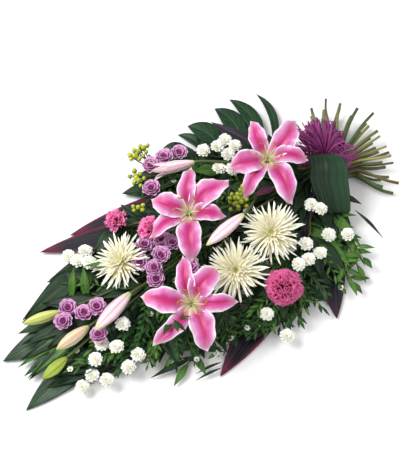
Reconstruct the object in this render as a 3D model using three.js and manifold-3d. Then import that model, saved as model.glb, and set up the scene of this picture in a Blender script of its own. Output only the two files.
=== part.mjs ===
// A tied sheaf of cut flowers and leaves, lying on its back on the ground.
// Millimetres, +Z up. The origin lies on the ground under the tie, +X points to the cut
// ends of the stems, -X to the flowers, and +Y to the side of the deeply cut leaf.
import * as THREE from "three";
import Module from "manifold-3d";

const wasm = await Module();
wasm.setup();

const { Vector3, CubicBezierCurve3 } = THREE;
const { degToRad, lerp, clamp } = THREE.MathUtils;

// The bundle: stems lie in rows and columns where the tie holds them
const STEM_RADIUS = 3.3;
const STEM_SIDES = 5;
const ROW_PITCH = 7;
const COLUMN_PITCH = 7.4;
const COLUMNS = 10;
const ROWS = 4;
const GAP = 0.3;
const TIE_CLEARANCE = 0.6;
const TIE_WALL = 2;
const TIE_LENGTH = 16;
const RAFFIA_WALL = 2;
const RAFFIA_LENGTH = 46;
const BUNDLE_FLOOR = RAFFIA_WALL + GAP + TIE_WALL + TIE_CLEARANCE;
const BUNDLE_HALF_WIDTH = ((COLUMNS - 1) * COLUMN_PITCH) / 2 + STEM_RADIUS;
const BUNDLE_HEIGHT = (ROWS - 1) * ROW_PITCH + 2 * STEM_RADIUS;

// Cut ends of the stems: their length and direction in the first and in the last column
const TAIL_LENGTHS = [100, 142, 148, 125, 117];
const TAIL_TURNS = [56, -46];
const TAIL_RISE = 15;

// Thickness of the thin pieces
const PETAL_THICKNESS = 1;
const LEAF_THICKNESS = 0.9;
const LEAFLET_THICKNESS = 0.8;

// Open lilies: where each stands, how it faces, and its petals as seen from above,
// each as its direction, its length and whether it is one of the broad inner ones.
const LILY_THROAT = 30;
const LILY_PLUG = 8;
const LILIES = [
  {
    name: "lily_1",
    at: [20, 126, 130],
    face: [16, -126],
    petals: [
      [78, 84, false],
      [19, 98, true],
      [-36, 80, false],
      [-98, 102, true],
      [-156, 92, false],
      [160, 78, true],
    ],
  },
  {
    name: "lily_2",
    at: [6.6, 312, 136],
    face: [16, -140],
    petals: [
      [52, 90, false],
      [4, 98, true],
      [-42, 72, false],
      [-121, 95, true],
      [177, 88, false],
      [124, 76, true],
    ],
  },
  {
    name: "lily_3",
    at: [-15.5, 425, 130],
    face: [18, -120],
    petals: [
      [66, 90, false],
      [21, 82, true],
      [-32, 86, false],
      [-106, 92, true],
      [-167, 104, false],
      [138, 94, true],
    ],
  },
];

// Lily buds: base and tip as places, with the widest radius
const BUDS = [
  { name: "bud_open", base: [31, 262, 92], tip: [28.8, 349, 90], radius: 13, split: true },
  { name: "bud_blush", base: [-6.7, 231, 132], tip: [-7.1, 326, 138], radius: 13 },
  { name: "bud_pink", base: [-1.6, 478, 78], tip: [-3.8, 572, 84], radius: 15 },
  { name: "bud_cream", base: [-1.6, 572, 58], tip: [-1.6, 644, 56], radius: 13 },
  { name: "bud_lime", base: [4.1, 598, 48], tip: [5.7, 668, 42], radius: 11 },
  { name: "bud_green", base: [-3.3, 637, 42], tip: [-3.6, 694, 40], radius: 12 },
];

// Spider chrysanthemums: place, facing, and the length of the outer petals
const MUMS = [
  { name: "chrysanthemum_1", at: [-21, 216, 106], face: [20, -140], radius: 62 },
  { name: "chrysanthemum_2", at: [-18, 313, 96], face: [24, -130], radius: 64 },
  { name: "chrysanthemum_3", at: [6.2, 458, 76], face: [22, 170], radius: 52 },
];

// Carnations: place, facing and radius
const CARNATIONS = [
  { name: "carnation_1", at: [-35, 293, 74], face: [30, -135], radius: 37 },
  { name: "carnation_2", at: [18, 429, 56], face: [35, 150], radius: 25 },
  { name: "carnation_3", at: [10, 377, 84], face: [20, 160], radius: 28 },
];

// Sprays of small double flowers: the place of each flower
const MAUVE_SPRAYS = [
  {
    name: "mauve_spray_upper",
    slot: [2, 0],
    blooms: [
      [33.4, 346, 62],
      [36, 320, 66],
      [38.5, 292, 60],
      [23.7, 351, 76],
    ],
  },
  {
    name: "mauve_spray_middle",
    slot: [2, 4],
    blooms: [
      [7, 405, 82],
      [3.2, 430, 80],
      [5.4, 372, 84],
      [1.2, 393, 92],
      [-2.9, 424, 78],
      [2.4, 361, 90],
      [-6.5, 364, 90],
      [-0.4, 414, 84],
    ],
  },
  {
    name: "mauve_spray_tip",
    slot: [1, 4],
    blooms: [
      [3.8, 584, 54],
      [1.9, 604, 50],
      [0.8, 566, 60],
      [0.4, 540, 64],
      [-4.2, 568, 56],
    ],
  },
];
const WHITE_SPRAYS = [
  {
    name: "white_spray_tie",
    slot: [3, 7],
    blooms: [
      [-35, 113, 72],
      [-44, 120, 76],
      [-52, 166, 62],
      [-66, 160, 44],
    ],
  },
  {
    name: "white_spray_side",
    slot: [3, 5],
    blooms: [
      [-31, 207, 76],
      [-39, 203, 84],
      [-42, 228, 76],
      [-47, 211, 72],
      [-38, 245, 80],
    ],
  },
  {
    name: "white_spray_right",
    slot: [1, 7],
    blooms: [
      [-40, 368, 26],
      [-32.5, 345, 46],
    ],
  },
  {
    name: "white_spray_tip",
    slot: [1, 5],
    blooms: [
      [-5.6, 523, 62],
      [-5.4, 572, 48],
      [-8, 558, 52],
      [-11.8, 540, 46],
      [-6.8, 599, 40],
    ],
  },
  {
    name: "white_spray_low",
    slot: [1, 6],
    blooms: [
      [-10.5, 609, 26],
      [-8.3, 648, 18],
      [-11.8, 566, 32],
      [-8.1, 622, 26],
    ],
  },
  {
    name: "white_spray_left",
    slot: [1, 2],
    blooms: [
      [14.2, 538, 38],
      [12.3, 526, 42],
      [13.6, 506, 46],
      [10.6, 508, 44],
    ],
  },
  {
    name: "white_spray_upper",
    slot: [3, 1],
    blooms: [
      [43, 218, 64],
      [48, 205, 62],
      [44, 183, 68],
      [37.5, 195, 70],
      [41, 244, 58],
      [28, 215, 76],
      [26, 190, 80],
    ],
  },
];
const MAUVE_BLOOM = { radius: 16.5, petals: 6, layers: 2, depth: 9 };
const WHITE_BLOOM = { radius: 14, petals: 5, layers: 2, depth: 8 };

// Sprays of green berries: the place of each berry
const BERRY_RADIUS = 5;
const BERRY_SPRAYS = [
  {
    name: "berry_spray_near",
    slot: [3, 3],
    berries: [
      [11, 186, 78],
      [8.5, 192, 82],
      [6, 196, 80],
      [8.8, 206, 78],
      [6, 212, 76],
      [3.4, 204, 78],
    ],
  },
  {
    name: "berry_spray_far",
    slot: [2, 1],
    berries: [
      [41, 362, 54],
      [39.5, 372, 56],
      [38, 380, 52],
      [31, 378, 56],
      [29, 372, 60],
      [19.5, 384, 68],
    ],
  },
];

// Single large leaves: slot in the tie, the blade from root to tip, and half its width
const CORDYLINES = [
  { name: "cordyline_left_upper", slot: [0, 2], root: [25, 190, 11], tip: [20.9, 522, 2], half: 31 },
  { name: "cordyline_left_lower", slot: [0, 3], root: [14.5, 270, 15], tip: [18.6, 588, 7], half: 25 },
  { name: "cordyline_bottom", slot: [0, 8], root: [-38, 205, 8], tip: [-27.5, 476, 2], half: 29 },
  { name: "cordyline_right", slot: [0, 9], root: [-50, 100, 12], tip: [-55.5, 312, 4], half: 27 },
  { name: "cordyline_top", slot: [3, 0], root: [46, 95, 40], tip: [60.4, 250, 34], half: 13 },
  { name: "cordyline_side", slot: [3, 6], root: [-25, 62, 52], tip: [-37.7, 190, 60], half: 22, edge: 75 },
];
const TIP_LEAVES = [
  {
    name: "tip_leaves_left",
    slot: [0, 4],
    hub: [6.4, 440, 9],
    blades: [
      { tip: [7.2, 668, 6], half: 25 },
      { tip: [11.5, 583, 16], half: 22 },
      { tip: [10.4, 527, 40], half: 10 },
    ],
  },
  {
    name: "tip_leaves_middle",
    slot: [0, 5],
    hub: [1.5, 485, 9],
    blades: [
      { tip: [3.1, 733, 1.5], half: 30 },
      { tip: [5.5, 684, 12], half: 19 },
      { tip: [-0.8, 716, 8], half: 17 },
    ],
  },
  {
    name: "tip_leaves_right",
    slot: [0, 6],
    hub: [-3, 470, 8],
    blades: [{ tip: [-4.9, 749, 1.5], half: 31 }],
  },
  {
    name: "upper_leaves",
    slot: [0, 1],
    hub: [34, 200, 14],
    blades: [
      { tip: [29.2, 408, 10], half: 26 },
      { tip: [37, 352, 20], half: 20 },
    ],
  },
];

// The deeply cut leaf: its midrib, and its lobes from the midrib outwards
const CUT_LEAF = {
  name: "cut_leaf",
  slot: [0, 0],
  root: [60, 108],
  end: [40, 305],
  height: 13,
  midrib: 3.2,
  hook: 35,
  lobes: [
    [0.05, [91, 231], 8],
    [0.16, [79, 258], 15],
    [0.32, [71, 268], 20],
    [0.5, [58, 297], 21],
    [0.66, [53, 309], 10],
    [0.82, [44, 333], 21],
    [0.45, [35, 215], 19],
  ],
};

// The broad leaf bent into a loop over the tie, as points along its middle
const LOOP_LEAF = {
  name: "loop_leaf",
  slot: [3, 9],
  half: 37,
  line: [
    [-60, -52, 36],
    [-54, -94, 42],
    [-45, -74, 62],
    [-33, -44, 80],
    [-20, -26, 92],
    [-12, -5, 92],
    [-10, 9, 80],
    [-12, 5, 66],
  ],
};

// Leafy sprays: the main stem's end and its narrow leaflets
const LEAFY_SPRAYS = [
  {
    name: "foliage_right",
    slot: [1, 9],
    end: [-68, 213, 16],
    bare: 0.42,
    leaflets: 8,
    length: 42,
    half: 7,
  },
  {
    name: "foliage_side",
    slot: [1, 8],
    end: [-62, 246, 30],
    bare: 0.4,
    leaflets: 6,
    length: 44,
    half: 7,
  },
  {
    name: "foliage_bottom",
    slot: [0, 7],
    end: [-20, 488, 8],
    bare: 0.62,
    leaflets: 9,
    length: 50,
    half: 9,
  },
];

// Leaves that some bloom stems carry: where along the stem they start and end
const STEM_LEAVES = [
  { stem: "lily_stem_2", bare: 0.42, reach: 0.86, leaflets: 3, length: 84, half: 14 },
  { stem: "lily_stem_3", bare: 0.4, reach: 0.98, leaflets: 4, length: 84, half: 14 },
  { stem: "lily_stem_tip", bare: 0.56, reach: 0.92, leaflets: 3, length: 84, half: 14 },
  { stem: "chrysanthemum_2_stem", bare: 0.45, reach: 1, leaflets: 4, length: 80, half: 14 },
  { stem: "chrysanthemum_3_stem", bare: 0.6, reach: 0.96, leaflets: 3, length: 74, half: 13 },
  { stem: "carnation_1_stem", bare: 0.5, reach: 0.96, leaflets: 3, length: 74, half: 13 },
];

// Slots of the stems that carry the large blooms
const BLOOM_SLOTS = {
  lily_stem_1: [3, 2],
  lily_stem_2: [2, 3],
  lily_stem_3: [2, 5],
  lily_stem_tip: [1, 3],
  chrysanthemum_1: [3, 4],
  chrysanthemum_2: [2, 6],
  chrysanthemum_3: [1, 1],
  carnation_1: [2, 7],
  carnation_2: [1, 0],
  carnation_3: [2, 2],
};

// Colours and finishes
const finish = (color, roughness) => ({ color, roughness, metalness: 0 });
const FINISH = {
  lily: finish(0xe77fb8, 0.45),
  stamens: finish(0xb9a55a, 0.6),
  budPink: finish(0xeebfd2, 0.45),
  budGreen: finish(0xb4c157, 0.45),
  stem: finish(0x4f7a34, 0.55),
  white: finish(0xf3efdf, 0.6),
  carnation: finish(0xd83f86, 0.65),
  mauve: finish(0xb465ad, 0.6),
  berry: finish(0xa9b43a, 0.35),
  leaf: finish(0x24452b, 0.4),
  leaflet: finish(0x3d6b2c, 0.45),
  cordyline: finish(0x45303f, 0.45),
  raffia: finish(0x93307f, 0.5),
  string: finish(0xb59d73, 0.9),
};

// Random numbers from 0 to 1 that are the same each time
function seeded(seed) {
  let state = seed;
  return () => {
    state = (state * 1664525 + 1013904223) % 4294967296;
    return state / 4294967296;
  };
}

// A place told from the tie: the angle turns from the flower end (-X) towards +Y.
function place([angle, reach, height = 0]) {
  const turn = degToRad(angle);
  return new Vector3(-reach * Math.cos(turn), reach * Math.sin(turn), height);
}

// A unit vector tilted from straight up towards a direction seen from above
function facing([tilt, toward]) {
  const lean = degToRad(tilt);
  const turn = degToRad(toward);
  return new Vector3(
    Math.sin(lean) * Math.cos(turn),
    Math.sin(lean) * Math.sin(turn),
    Math.cos(lean),
  );
}

// A bloom's own frame: a point in it is told by its direction seen from above, its
// distance from the bloom's axis and its height along that axis. Directions count from
// one that can be given.
function bloomFrame(at, axis, zero = new Vector3(1, 0, 0)) {
  const x = zero.clone().addScaledVector(axis, -axis.dot(zero)).normalize();
  const y = axis.clone().cross(x);
  const outward = (degrees) => {
    const turn = degToRad(degrees);
    return x.clone().multiplyScalar(Math.cos(turn)).addScaledVector(y, Math.sin(turn));
  };
  const point = (degrees, distance, height) =>
    at.clone().addScaledVector(outward(degrees), distance).addScaledVector(axis, height);
  return { at, axis, outward, point };
}

// A closed skin with its faces turned outwards
function skin(points, faces) {
  const volume = faces.reduce(
    (sum, [a, b, c]) => sum + points[a].dot(points[b].clone().cross(points[c])),
    0,
  );
  return { points, faces: volume < 0 ? faces.map(([a, b, c]) => [a, c, b]) : faces };
}

// Faces between two rings of points, which may differ in count; a ring of one point closes
// the other to a tip. Open rows aren't joined round at their ends.
function between(a, countA, b, countB, open = false) {
  const faces = [];
  const count = Math.max(countA, countB);
  const last = open ? count - 1 : count;
  for (let i = 0; i < last; i++) {
    const next = (i + 1) % count;
    const [fromA, toA] = [i, next].map((k) => a + Math.floor((k * countA) / count));
    const [fromB, toB] = [i, next].map((k) => b + Math.floor((k * countB) / count));
    if (fromA !== toA) faces.push([fromA, toA, fromB]);
    if (fromB !== toB) faces.push([toA, toB, fromB]);
  }
  return faces;
}

// A closed skin through rings of points; a ring of one point is a pointed end.
function loft(rings) {
  const starts = [];
  let total = 0;
  for (const ring of rings) {
    starts.push(total);
    total += ring.length;
  }
  const faces = [];
  for (let i = 1; i < rings.length; i++)
    faces.push(...between(starts[i - 1], rings[i - 1].length, starts[i], rings[i].length));
  const last = rings.length - 1;
  for (let i = 1; i + 1 < rings[0].length; i++) faces.push([0, i + 1, i]);
  for (let i = 1; i + 1 < rings[last].length; i++)
    faces.push([starts[last], starts[last] + i, starts[last] + i + 1]);
  return skin(rings.flat(), faces);
}

function tangents(line) {
  return line.map((_, i) =>
    line[Math.min(i + 1, line.length - 1)]
      .clone()
      .sub(line[Math.max(i - 1, 0)])
      .normalize(),
  );
}

// Rings round a line of points. Their sides are counted from a direction that is given
// at one point of the line and carried along it without twisting.
function ringsAlong(line, radiusAt, sides, { seedIndex = 0, seedSide, ending } = {}) {
  const directions = tangents(line);
  if (ending) directions[line.length - 1] = ending;
  const side = [];
  const upright = (from, i) =>
    from.clone().addScaledVector(directions[i], -from.dot(directions[i])).normalize();
  side[seedIndex] = upright(seedSide ?? new Vector3(0, 1, 0.01), seedIndex);
  for (let i = seedIndex + 1; i < line.length; i++) side[i] = upright(side[i - 1], i);
  for (let i = seedIndex - 1; i >= 0; i--) side[i] = upright(side[i + 1], i);
  return line.map((point, i) => {
    const radius = radiusAt(i / (line.length - 1), i);
    const other = directions[i].clone().cross(side[i]);
    if (radius === 0) return [point.clone()];
    return Array.from({ length: sides }, (_, k) => {
      const turn = (2 * Math.PI * k) / sides;
      return point
        .clone()
        .addScaledVector(side[i], radius * Math.cos(turn))
        .addScaledVector(other, radius * Math.sin(turn));
    });
  });
}

const tube = (...shape) => loft(ringsAlong(...shape));

// A thin sheet through rows of points, thickened evenly along each row's own normal
function sheet(rows, normals, thickness) {
  const upper = [];
  const lower = [];
  rows.forEach((row, i) =>
    row.forEach((point) => {
      upper.push(point.clone().addScaledVector(normals[i], thickness / 2));
      lower.push(point.clone().addScaledVector(normals[i], -thickness / 2));
    }),
  );
  const top = [];
  let start = 0;
  for (let i = 1; i < rows.length; i++) {
    const next = start + rows[i - 1].length;
    top.push(...between(start, rows[i - 1].length, next, rows[i].length, true));
    start = next;
  }
  const edges = new Set(top.flatMap(([a, b, c]) => [`${a},${b}`, `${b},${c}`, `${c},${a}`]));
  const count = upper.length;
  const walls = [...edges].flatMap((edge) => {
    const [a, b] = edge.split(",").map(Number);
    if (edges.has(`${b},${a}`)) return [];
    return [
      [b, a, a + count],
      [b, a + count, b + count],
    ];
  });
  const bottom = top.map(([a, b, c]) => [a + count, c + count, b + count]);
  return skin([...upper, ...lower], [...top, ...bottom, ...walls]);
}

// A blade along a line: half its width at each point, the direction that it spreads in,
// and how far its surface rises or dips at a share of the way out from its middle.
function blade(line, { halfAt, across, shares, dish, thickness }) {
  const directions = tangents(line);
  const normals = [];
  const rows = line.map((point, i) => {
    const t = i / (line.length - 1);
    const side = typeof across === "function" ? across(directions[i], t) : across;
    const normal = directions[i].clone().cross(side).normalize();
    normals.push(normal);
    const half = halfAt(t);
    if (half === 0) return [point.clone()];
    return shares.map((share) =>
      point
        .clone()
        .addScaledVector(side, share * half)
        .addScaledVector(normal, dish(t, share)),
    );
  });
  return sheet(rows, normals, thickness);
}

// Half-width of a lance-shaped blade, 0 at both ends and 1 at the peak
function lance(t, peak) {
  if (t <= 0 || t >= 1) return 0;
  return Math.sin(Math.PI * t ** (Math.log(0.5) / Math.log(peak))) ** 0.85;
}

const bezier = (a, b, c, d, steps) => new CubicBezierCurve3(a, b, c, d).getPoints(steps);

function solidOf({ points, faces }) {
  const vertProperties = new Float32Array(points.flatMap((p) => p.toArray()));
  const triVerts = new Uint32Array(faces.flat());
  return new wasm.Manifold(new wasm.Mesh({ numProp: 3, vertProperties, triVerts }));
}

function joined(solids) {
  let pool = solids;
  while (pool.length > 1) {
    const next = [];
    for (let i = 0; i < pool.length; i += 2)
      next.push(i + 1 < pool.length ? pool[i].add(pool[i + 1]) : pool[i]);
    pool = next;
  }
  return pool[0];
}

const fused = (skins) => joined(skins.map(solidOf));

// What already stands in the sheaf, so that later pieces are bent clear of it
const standing = [];
const routes = {};

function boxesMeet(a, b) {
  return [0, 1, 2].every((k) => a.min[k] <= b.max[k] && b.min[k] <= a.max[k]);
}

function isClear(solid, ownName) {
  const box = solid.boundingBox();
  return standing.every(
    (other) =>
      other.name === ownName ||
      !boxesMeet(box, other.box) ||
      solid.intersect(other.solid).isEmpty(),
  );
}

// The first of the bends that makes a solid clear of all that stands, or none
function bentClear(make, bends, ownName) {
  for (const bend of bends) {
    const solid = make(bend);
    if (isClear(solid, ownName)) return solid;
  }
  return null;
}

function stand(name, solid, look) {
  standing.push({ name, solid, look, box: solid.boundingBox() });
}

// Steps up and down, from none to ever larger ones
const alternating = (step, count) =>
  Array.from({ length: count }, (_, i) => (i % 2 ? 1 : -1) * Math.ceil(i / 2) * step);

// The bends that a stem tries, the smallest first: so far up and so far to the side
const BENDS = alternating(3, 13)
  .flatMap((lift) => alternating(4, 9).map((shift) => ({ lift, shift })))
  .sort((a, b) => Math.hypot(a.lift, a.shift) - Math.hypot(b.lift, b.shift));

// Where a stem lies in the tie
function slotPlace([row, column], x) {
  const y = ((COLUMNS - 1) / 2 - column) * COLUMN_PITCH;
  return new Vector3(x, y, BUNDLE_FLOOR + STEM_RADIUS + row * ROW_PITCH);
}

// The line of a stem from its cut end through the tie to where it ends, arriving there
// in a given direction; the bend moves its free stretch.
const STRAIGHT = { lift: 0, shift: 0 };

function valueAt(values, share) {
  const place = share * (values.length - 1);
  const i = Math.min(Math.floor(place), values.length - 2);
  return lerp(values[i], values[i + 1], place - i);
}

function stemLine(slot, end, arrival, { bend = STRAIGHT, back = 50, sag = 0, steps = 3 } = {}) {
  const [row, column] = slot;
  const random = seeded(955 * row + 1595 * column);
  const half = RAFFIA_LENGTH / 2;
  const entry = slotPlace(slot, half);
  const exit = slotPlace(slot, -half);
  const share = column / (COLUMNS - 1);
  const turn = degToRad(lerp(...TAIL_TURNS, share));
  const length = valueAt(TAIL_LENGTHS, share) * lerp(0.74, 1.06, random());
  const outward = new Vector3(Math.cos(turn), Math.sin(turn), 0);
  const cut = outward.clone().multiplyScalar(length).add(entry);
  cut.x -= half;
  cut.z = 6 + row * TAIL_RISE + 8 * random();
  const pull = new Vector3(40, 0, 0);
  const tail = bezier(
    cut,
    cut.clone().addScaledVector(outward, -0.45 * length),
    entry.clone().add(pull),
    entry,
    2,
  );
  const reach = end.distanceTo(exit);
  const first = exit.clone();
  first.x -= 0.3 * reach;
  first.y += bend.shift;
  first.z += row * 5 + bend.lift;
  const last = end.clone().addScaledVector(arrival, -Math.min(back, 0.4 * reach));
  last.y += bend.shift;
  last.z = Math.max(last.z + bend.lift - sag, STEM_RADIUS);
  return [...tail, ...bezier(exit, first, last, end, steps)];
}

// The free stretch of a stem beyond the tie, in the same straight steps as its tube
const routeOf = (line) => new THREE.CatmullRomCurve3(line.slice(3), false, "catmullrom", 0);

// The stem as a tube: as thick as its slot as far as the tie, then thinner. Its head is
// told as rings, each with how far it stands back from the end and its radius.
function stemTube(line, endRadius, ending, head = [[0, endRadius]]) {
  const tieIndex = 3;
  const last = line.length - 1;
  const heading = ending ?? tangents(line)[last];
  const ends = head.map(([back]) => line[last].clone().addScaledVector(heading, -back));
  const thinning = (i) => clamp((i - tieIndex) / (last - tieIndex), 0, 1);
  const radiusAt = (t, i) =>
    i < last ? lerp(STEM_RADIUS, endRadius, thinning(i)) : head[i - last][1];
  return tube([...line.slice(0, last), ...ends], radiusAt, STEM_SIDES, {
    seedIndex: 2,
    ending: heading,
  });
}

function standStem(name, slot, end, arrival, { endRadius, head, extra = () => [], ...way }) {
  const make = (bend) => {
    const line = stemLine(slot, end, arrival, { bend, ...way });
    return fused([stemTube(line, endRadius, arrival, head), ...extra(line)]);
  };
  const bend = BENDS.find((one) => isClear(make(one))) ?? STRAIGHT;
  routes[name] = routeOf(stemLine(slot, end, arrival, { bend, ...way }));
  stand(name, make(bend), FINISH.stem);
}

// The tie and the raffia: bands with a flat underside round the bundle
function bandLoop(margin, floor) {
  const halfWidth = BUNDLE_HALF_WIDTH + margin;
  const height = BUNDLE_FLOOR + BUNDLE_HEIGHT + margin - floor;
  const corner = STEM_RADIUS + margin;
  const shape = new THREE.Shape();
  shape.moveTo(-halfWidth + corner, floor);
  shape.lineTo(halfWidth - corner, floor);
  shape.absarc(halfWidth - corner, floor + corner, corner, -Math.PI / 2, 0);
  shape.absarc(halfWidth - corner, floor + height - corner, corner, 0, Math.PI / 2);
  shape.absarc(-halfWidth + corner, floor + height - corner, corner, Math.PI / 2, Math.PI);
  shape.absarc(-halfWidth + corner, floor + corner, corner, Math.PI, 1.5 * Math.PI);
  return shape.getPoints(1).slice(0, -1);
}

function band(innerMargin, wall, floor, length) {
  const inner = bandLoop(innerMargin, floor + wall);
  const outer = bandLoop(innerMargin + wall, floor);
  const ring = (loop, x) => loop.map(({ x: y, y: z }) => new Vector3(x, y, z));
  const rings = [
    ring(outer, -length / 2),
    ring(outer, length / 2),
    ring(inner, length / 2),
    ring(inner, -length / 2),
  ];
  const count = outer.length;
  const faces = rings.flatMap((_, i) =>
    between(i * count, count, ((i + 1) % rings.length) * count, count),
  );
  return skin(rings.flat(), faces);
}

// A flat strand of raffia along a line
function strand(line, widest) {
  const directions = tangents(line);
  const rings = line.map((point, i) => {
    const half = i === 0 || i === line.length - 1 ? 0.4 * widest : widest;
    const side = new Vector3(0, 0, 1).cross(directions[i]);
    if (side.length() < 0.2) side.set(1, 0, 0);
    side.normalize();
    const up = directions[i].clone().cross(side).normalize();
    return [
      [1, 0],
      [0, 0.6],
      [-1, 0],
    ].map(([a, b]) =>
      point
        .clone()
        .addScaledVector(side, a * half)
        .addScaledVector(up, b * half),
    );
  });
  return loft(rings);
}

// The bow: loops of raffia that leave the knot, swing out and come back to it
const BOW = { knot: [6, 14, 45], radius: 9.2, loops: 7, turns: [2, 132], tails: 3, seed: 21 };

function raffiaBow() {
  const random = seeded(BOW.seed);
  const knot = new Vector3(...BOW.knot);
  const pieces = [
    tube(
      [new Vector3(6, -24, 40), new Vector3(6, -8, 43), knot, new Vector3(6, 30, 41)],
      (t) => [4.5, 7.5, BOW.radius, 5][Math.round(t * 3)],
      6,
      { seedSide: new Vector3(1, 0, 0) },
    ),
  ];
  for (let i = 0; i < BOW.loops; i++) {
    const share = i / (BOW.loops - 1);
    const turn = degToRad(lerp(...BOW.turns, share));
    const length = lerp(66, 98, random()) * lerp(0.6, 1, share);
    const rise = lerp(10, 44, random());
    const out = new Vector3(Math.cos(turn), Math.sin(turn), 0);
    const side = new Vector3(-out.y, out.x, 0);
    const spread = lerp(8, 16, random());
    const start = knot.clone().addScaledVector(out, 3);
    const end = start.clone().addScaledVector(side, 2);
    start.z += 4;
    end.z -= 3;
    const far = knot.clone().addScaledVector(out, length);
    far.z += rise;
    const outbound = bezier(
      start,
      start.clone().addScaledVector(out, length * 0.4).add(new Vector3(0, 0, rise + 16)),
      far.clone().addScaledVector(side, spread).add(new Vector3(0, 0, 12)),
      far,
      3,
    );
    const inbound = bezier(
      far,
      far.clone().addScaledVector(side, -spread).add(new Vector3(0, 0, -14)),
      end.clone().addScaledVector(out, length * 0.4).add(new Vector3(0, 0, 2)),
      end,
      3,
    );
    pieces.push(strand([...outbound, ...inbound.slice(1)], 4));
  }
  for (let i = 0; i < BOW.tails; i++) {
    const turn = degToRad(lerp(-95, 20, i / (BOW.tails - 1)));
    const out = new Vector3(Math.cos(turn), Math.sin(turn), 0);
    const length = lerp(44, 66, random());
    const start = knot.clone().addScaledVector(out, 3);
    const end = knot.clone().addScaledVector(out, length);
    end.z = lerp(42, 56, random());
    const high = knot.clone().addScaledVector(out, length * 0.5);
    high.z = 54;
    pieces.push(strand(bezier(start, high, end.clone(), end, 2), 3));
  }
  return pieces;
}

// Lily: six petals in two whorls that rise from a narrow throat and curl back
function lilyPetal(frame, [turn, length, broad], random) {
  const out = frame.outward(turn);
  const across = frame.axis.clone().cross(out);
  const lower = broad ? 0 : -1.6;
  const curl = lerp(-16, -4, random());
  const point = (distance, height) => frame.point(turn, distance, height + lower);
  const line = bezier(
    point(2.6, -LILY_THROAT),
    point(0.16 * length, 10),
    point(0.62 * length, 24),
    point(length, curl),
    broad ? 6 : 5,
  );
  const widest = broad ? 23 : 17;
  const peak = broad ? 0.58 : 0.54;
  const phase = 2 * Math.PI * random();
  const shape = (t) => lance(t, peak) ** (t < peak ? 1.9 : 1);
  return blade(line, {
    halfAt: (t) => (t === 0 ? 1.6 : widest * shape(t)),
    across,
    shares: [-1, 0, 1],
    dish: (t, share) => {
      const groove = share === 0 ? -2 : 0;
      const cup = 0.18 * widest * (1 - t) * share * share;
      const wave = broad ? 2.6 * Math.sin(15 * t + phase + share) * share * share : 0;
      return (groove + cup + wave) * shape(t);
    },
    thickness: PETAL_THICKNESS,
  });
}

function lilyPetals({ at, face, petals }, index) {
  const random = seeded(31 + index);
  const frame = bloomFrame(place(at), facing(face));
  const plug = tube(
    [-LILY_THROAT - LILY_PLUG, -LILY_THROAT - 3, -LILY_THROAT + 1].map((h) =>
      frame.point(0, 0, h),
    ),
    (t) => [3, 4.4, 4.2][Math.round(t * 2)],
    6,
  );
  return fused([plug, ...petals.map((petal) => lilyPetal(frame, petal, random))]);
}

// Six filaments with their anthers, and the style in the middle, on one foot
function lilyStamens({ at, face }) {
  const frame = bloomFrame(place(at), facing(face));
  const foot = -LILY_THROAT + 1 + GAP;
  const style = bezier(
    frame.point(0, 0, foot + 5),
    frame.point(0, 0, -6),
    frame.point(-100, 4, 10),
    frame.point(-100, 10, 30),
    3,
  );
  const pieces = [
    tube([frame.point(0, 0, foot), frame.point(0, 0, foot + 6)], () => 1.9, 6),
    tube(style, (t) => (t === 1 ? 3 : 1.1), 3),
  ];
  for (let k = 0; k < 6; k++) {
    const turn = 60 * k + 12;
    const filament = [
      frame.point(turn, 1.3, foot + 3),
      frame.point(turn, 5, 2),
      frame.point(turn + 4, 22, 21),
      frame.point(turn + 22, 28, 26),
    ];
    pieces.push(tube(filament, (t, i) => [0.8, 0.8, 2, 0][i], 3));
  }
  return fused(pieces);
}

// Lily bud: six sides with three raised ribs, told as pairs of how far along it is and
// how wide; an opening bud ends in three petal tips that part
const CLOSED_BUD = [[0, 0.28], [0.12, 0.6], [0.32, 0.9], [0.55, 1], [0.78, 0.74], [0.93, 0.36], [1, 0.12]];
const OPENING_BUD = [[0, 0.3], [0.16, 0.62], [0.42, 0.95], [0.66, 1], [0.78, 0.9]];

function lilyBud({ base, tip, radius, split }) {
  const from = place(base);
  const axis = place(tip).sub(from);
  const length = axis.length();
  axis.normalize();
  const frame = bloomFrame(from, axis);
  const profile = split ? OPENING_BUD : CLOSED_BUD;
  const sides = 6;
  const rings = profile.map(([t, share], i) =>
    Array.from({ length: sides }, (_, k) => {
      const rib = k % 2 ? 0.86 : 1;
      const wide = i === 0 ? 4 : radius * share;
      return frame.point((360 * k) / sides, wide * rib, t * length);
    }),
  );
  if (split) {
    const crown = Array.from({ length: sides }, (_, k) =>
      k % 2
        ? frame.point((360 * k) / sides, 0.7 * radius, 0.82 * length)
        : frame.point((360 * k) / sides, 1.35 * radius, length),
    );
    rings.push(crown, [frame.point(0, 0, 0.72 * length)]);
  }
  return solidOf(loft(rings));
}

// Spider chrysanthemum: a small domed core of three bands of faces. Every face of a band
// is drawn out into a slim petal, bent clear of what already stands.
const MUM = { columns: 6, depth: 10, core: 9 };
const MUM_RINGS = [
  { wide: 0.75, height: -6 },
  { wide: 1, height: 0 },
  { wide: 0.85, height: 6 },
  { wide: 0.45, height: 10 },
];
const MUM_BANDS = [
  { length: 1, lift: 3, girth: 0.5 },
  { length: 0.86, lift: 15, girth: 0.46 },
  { length: 0.58, lift: 36, girth: 0.5 },
];

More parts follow.
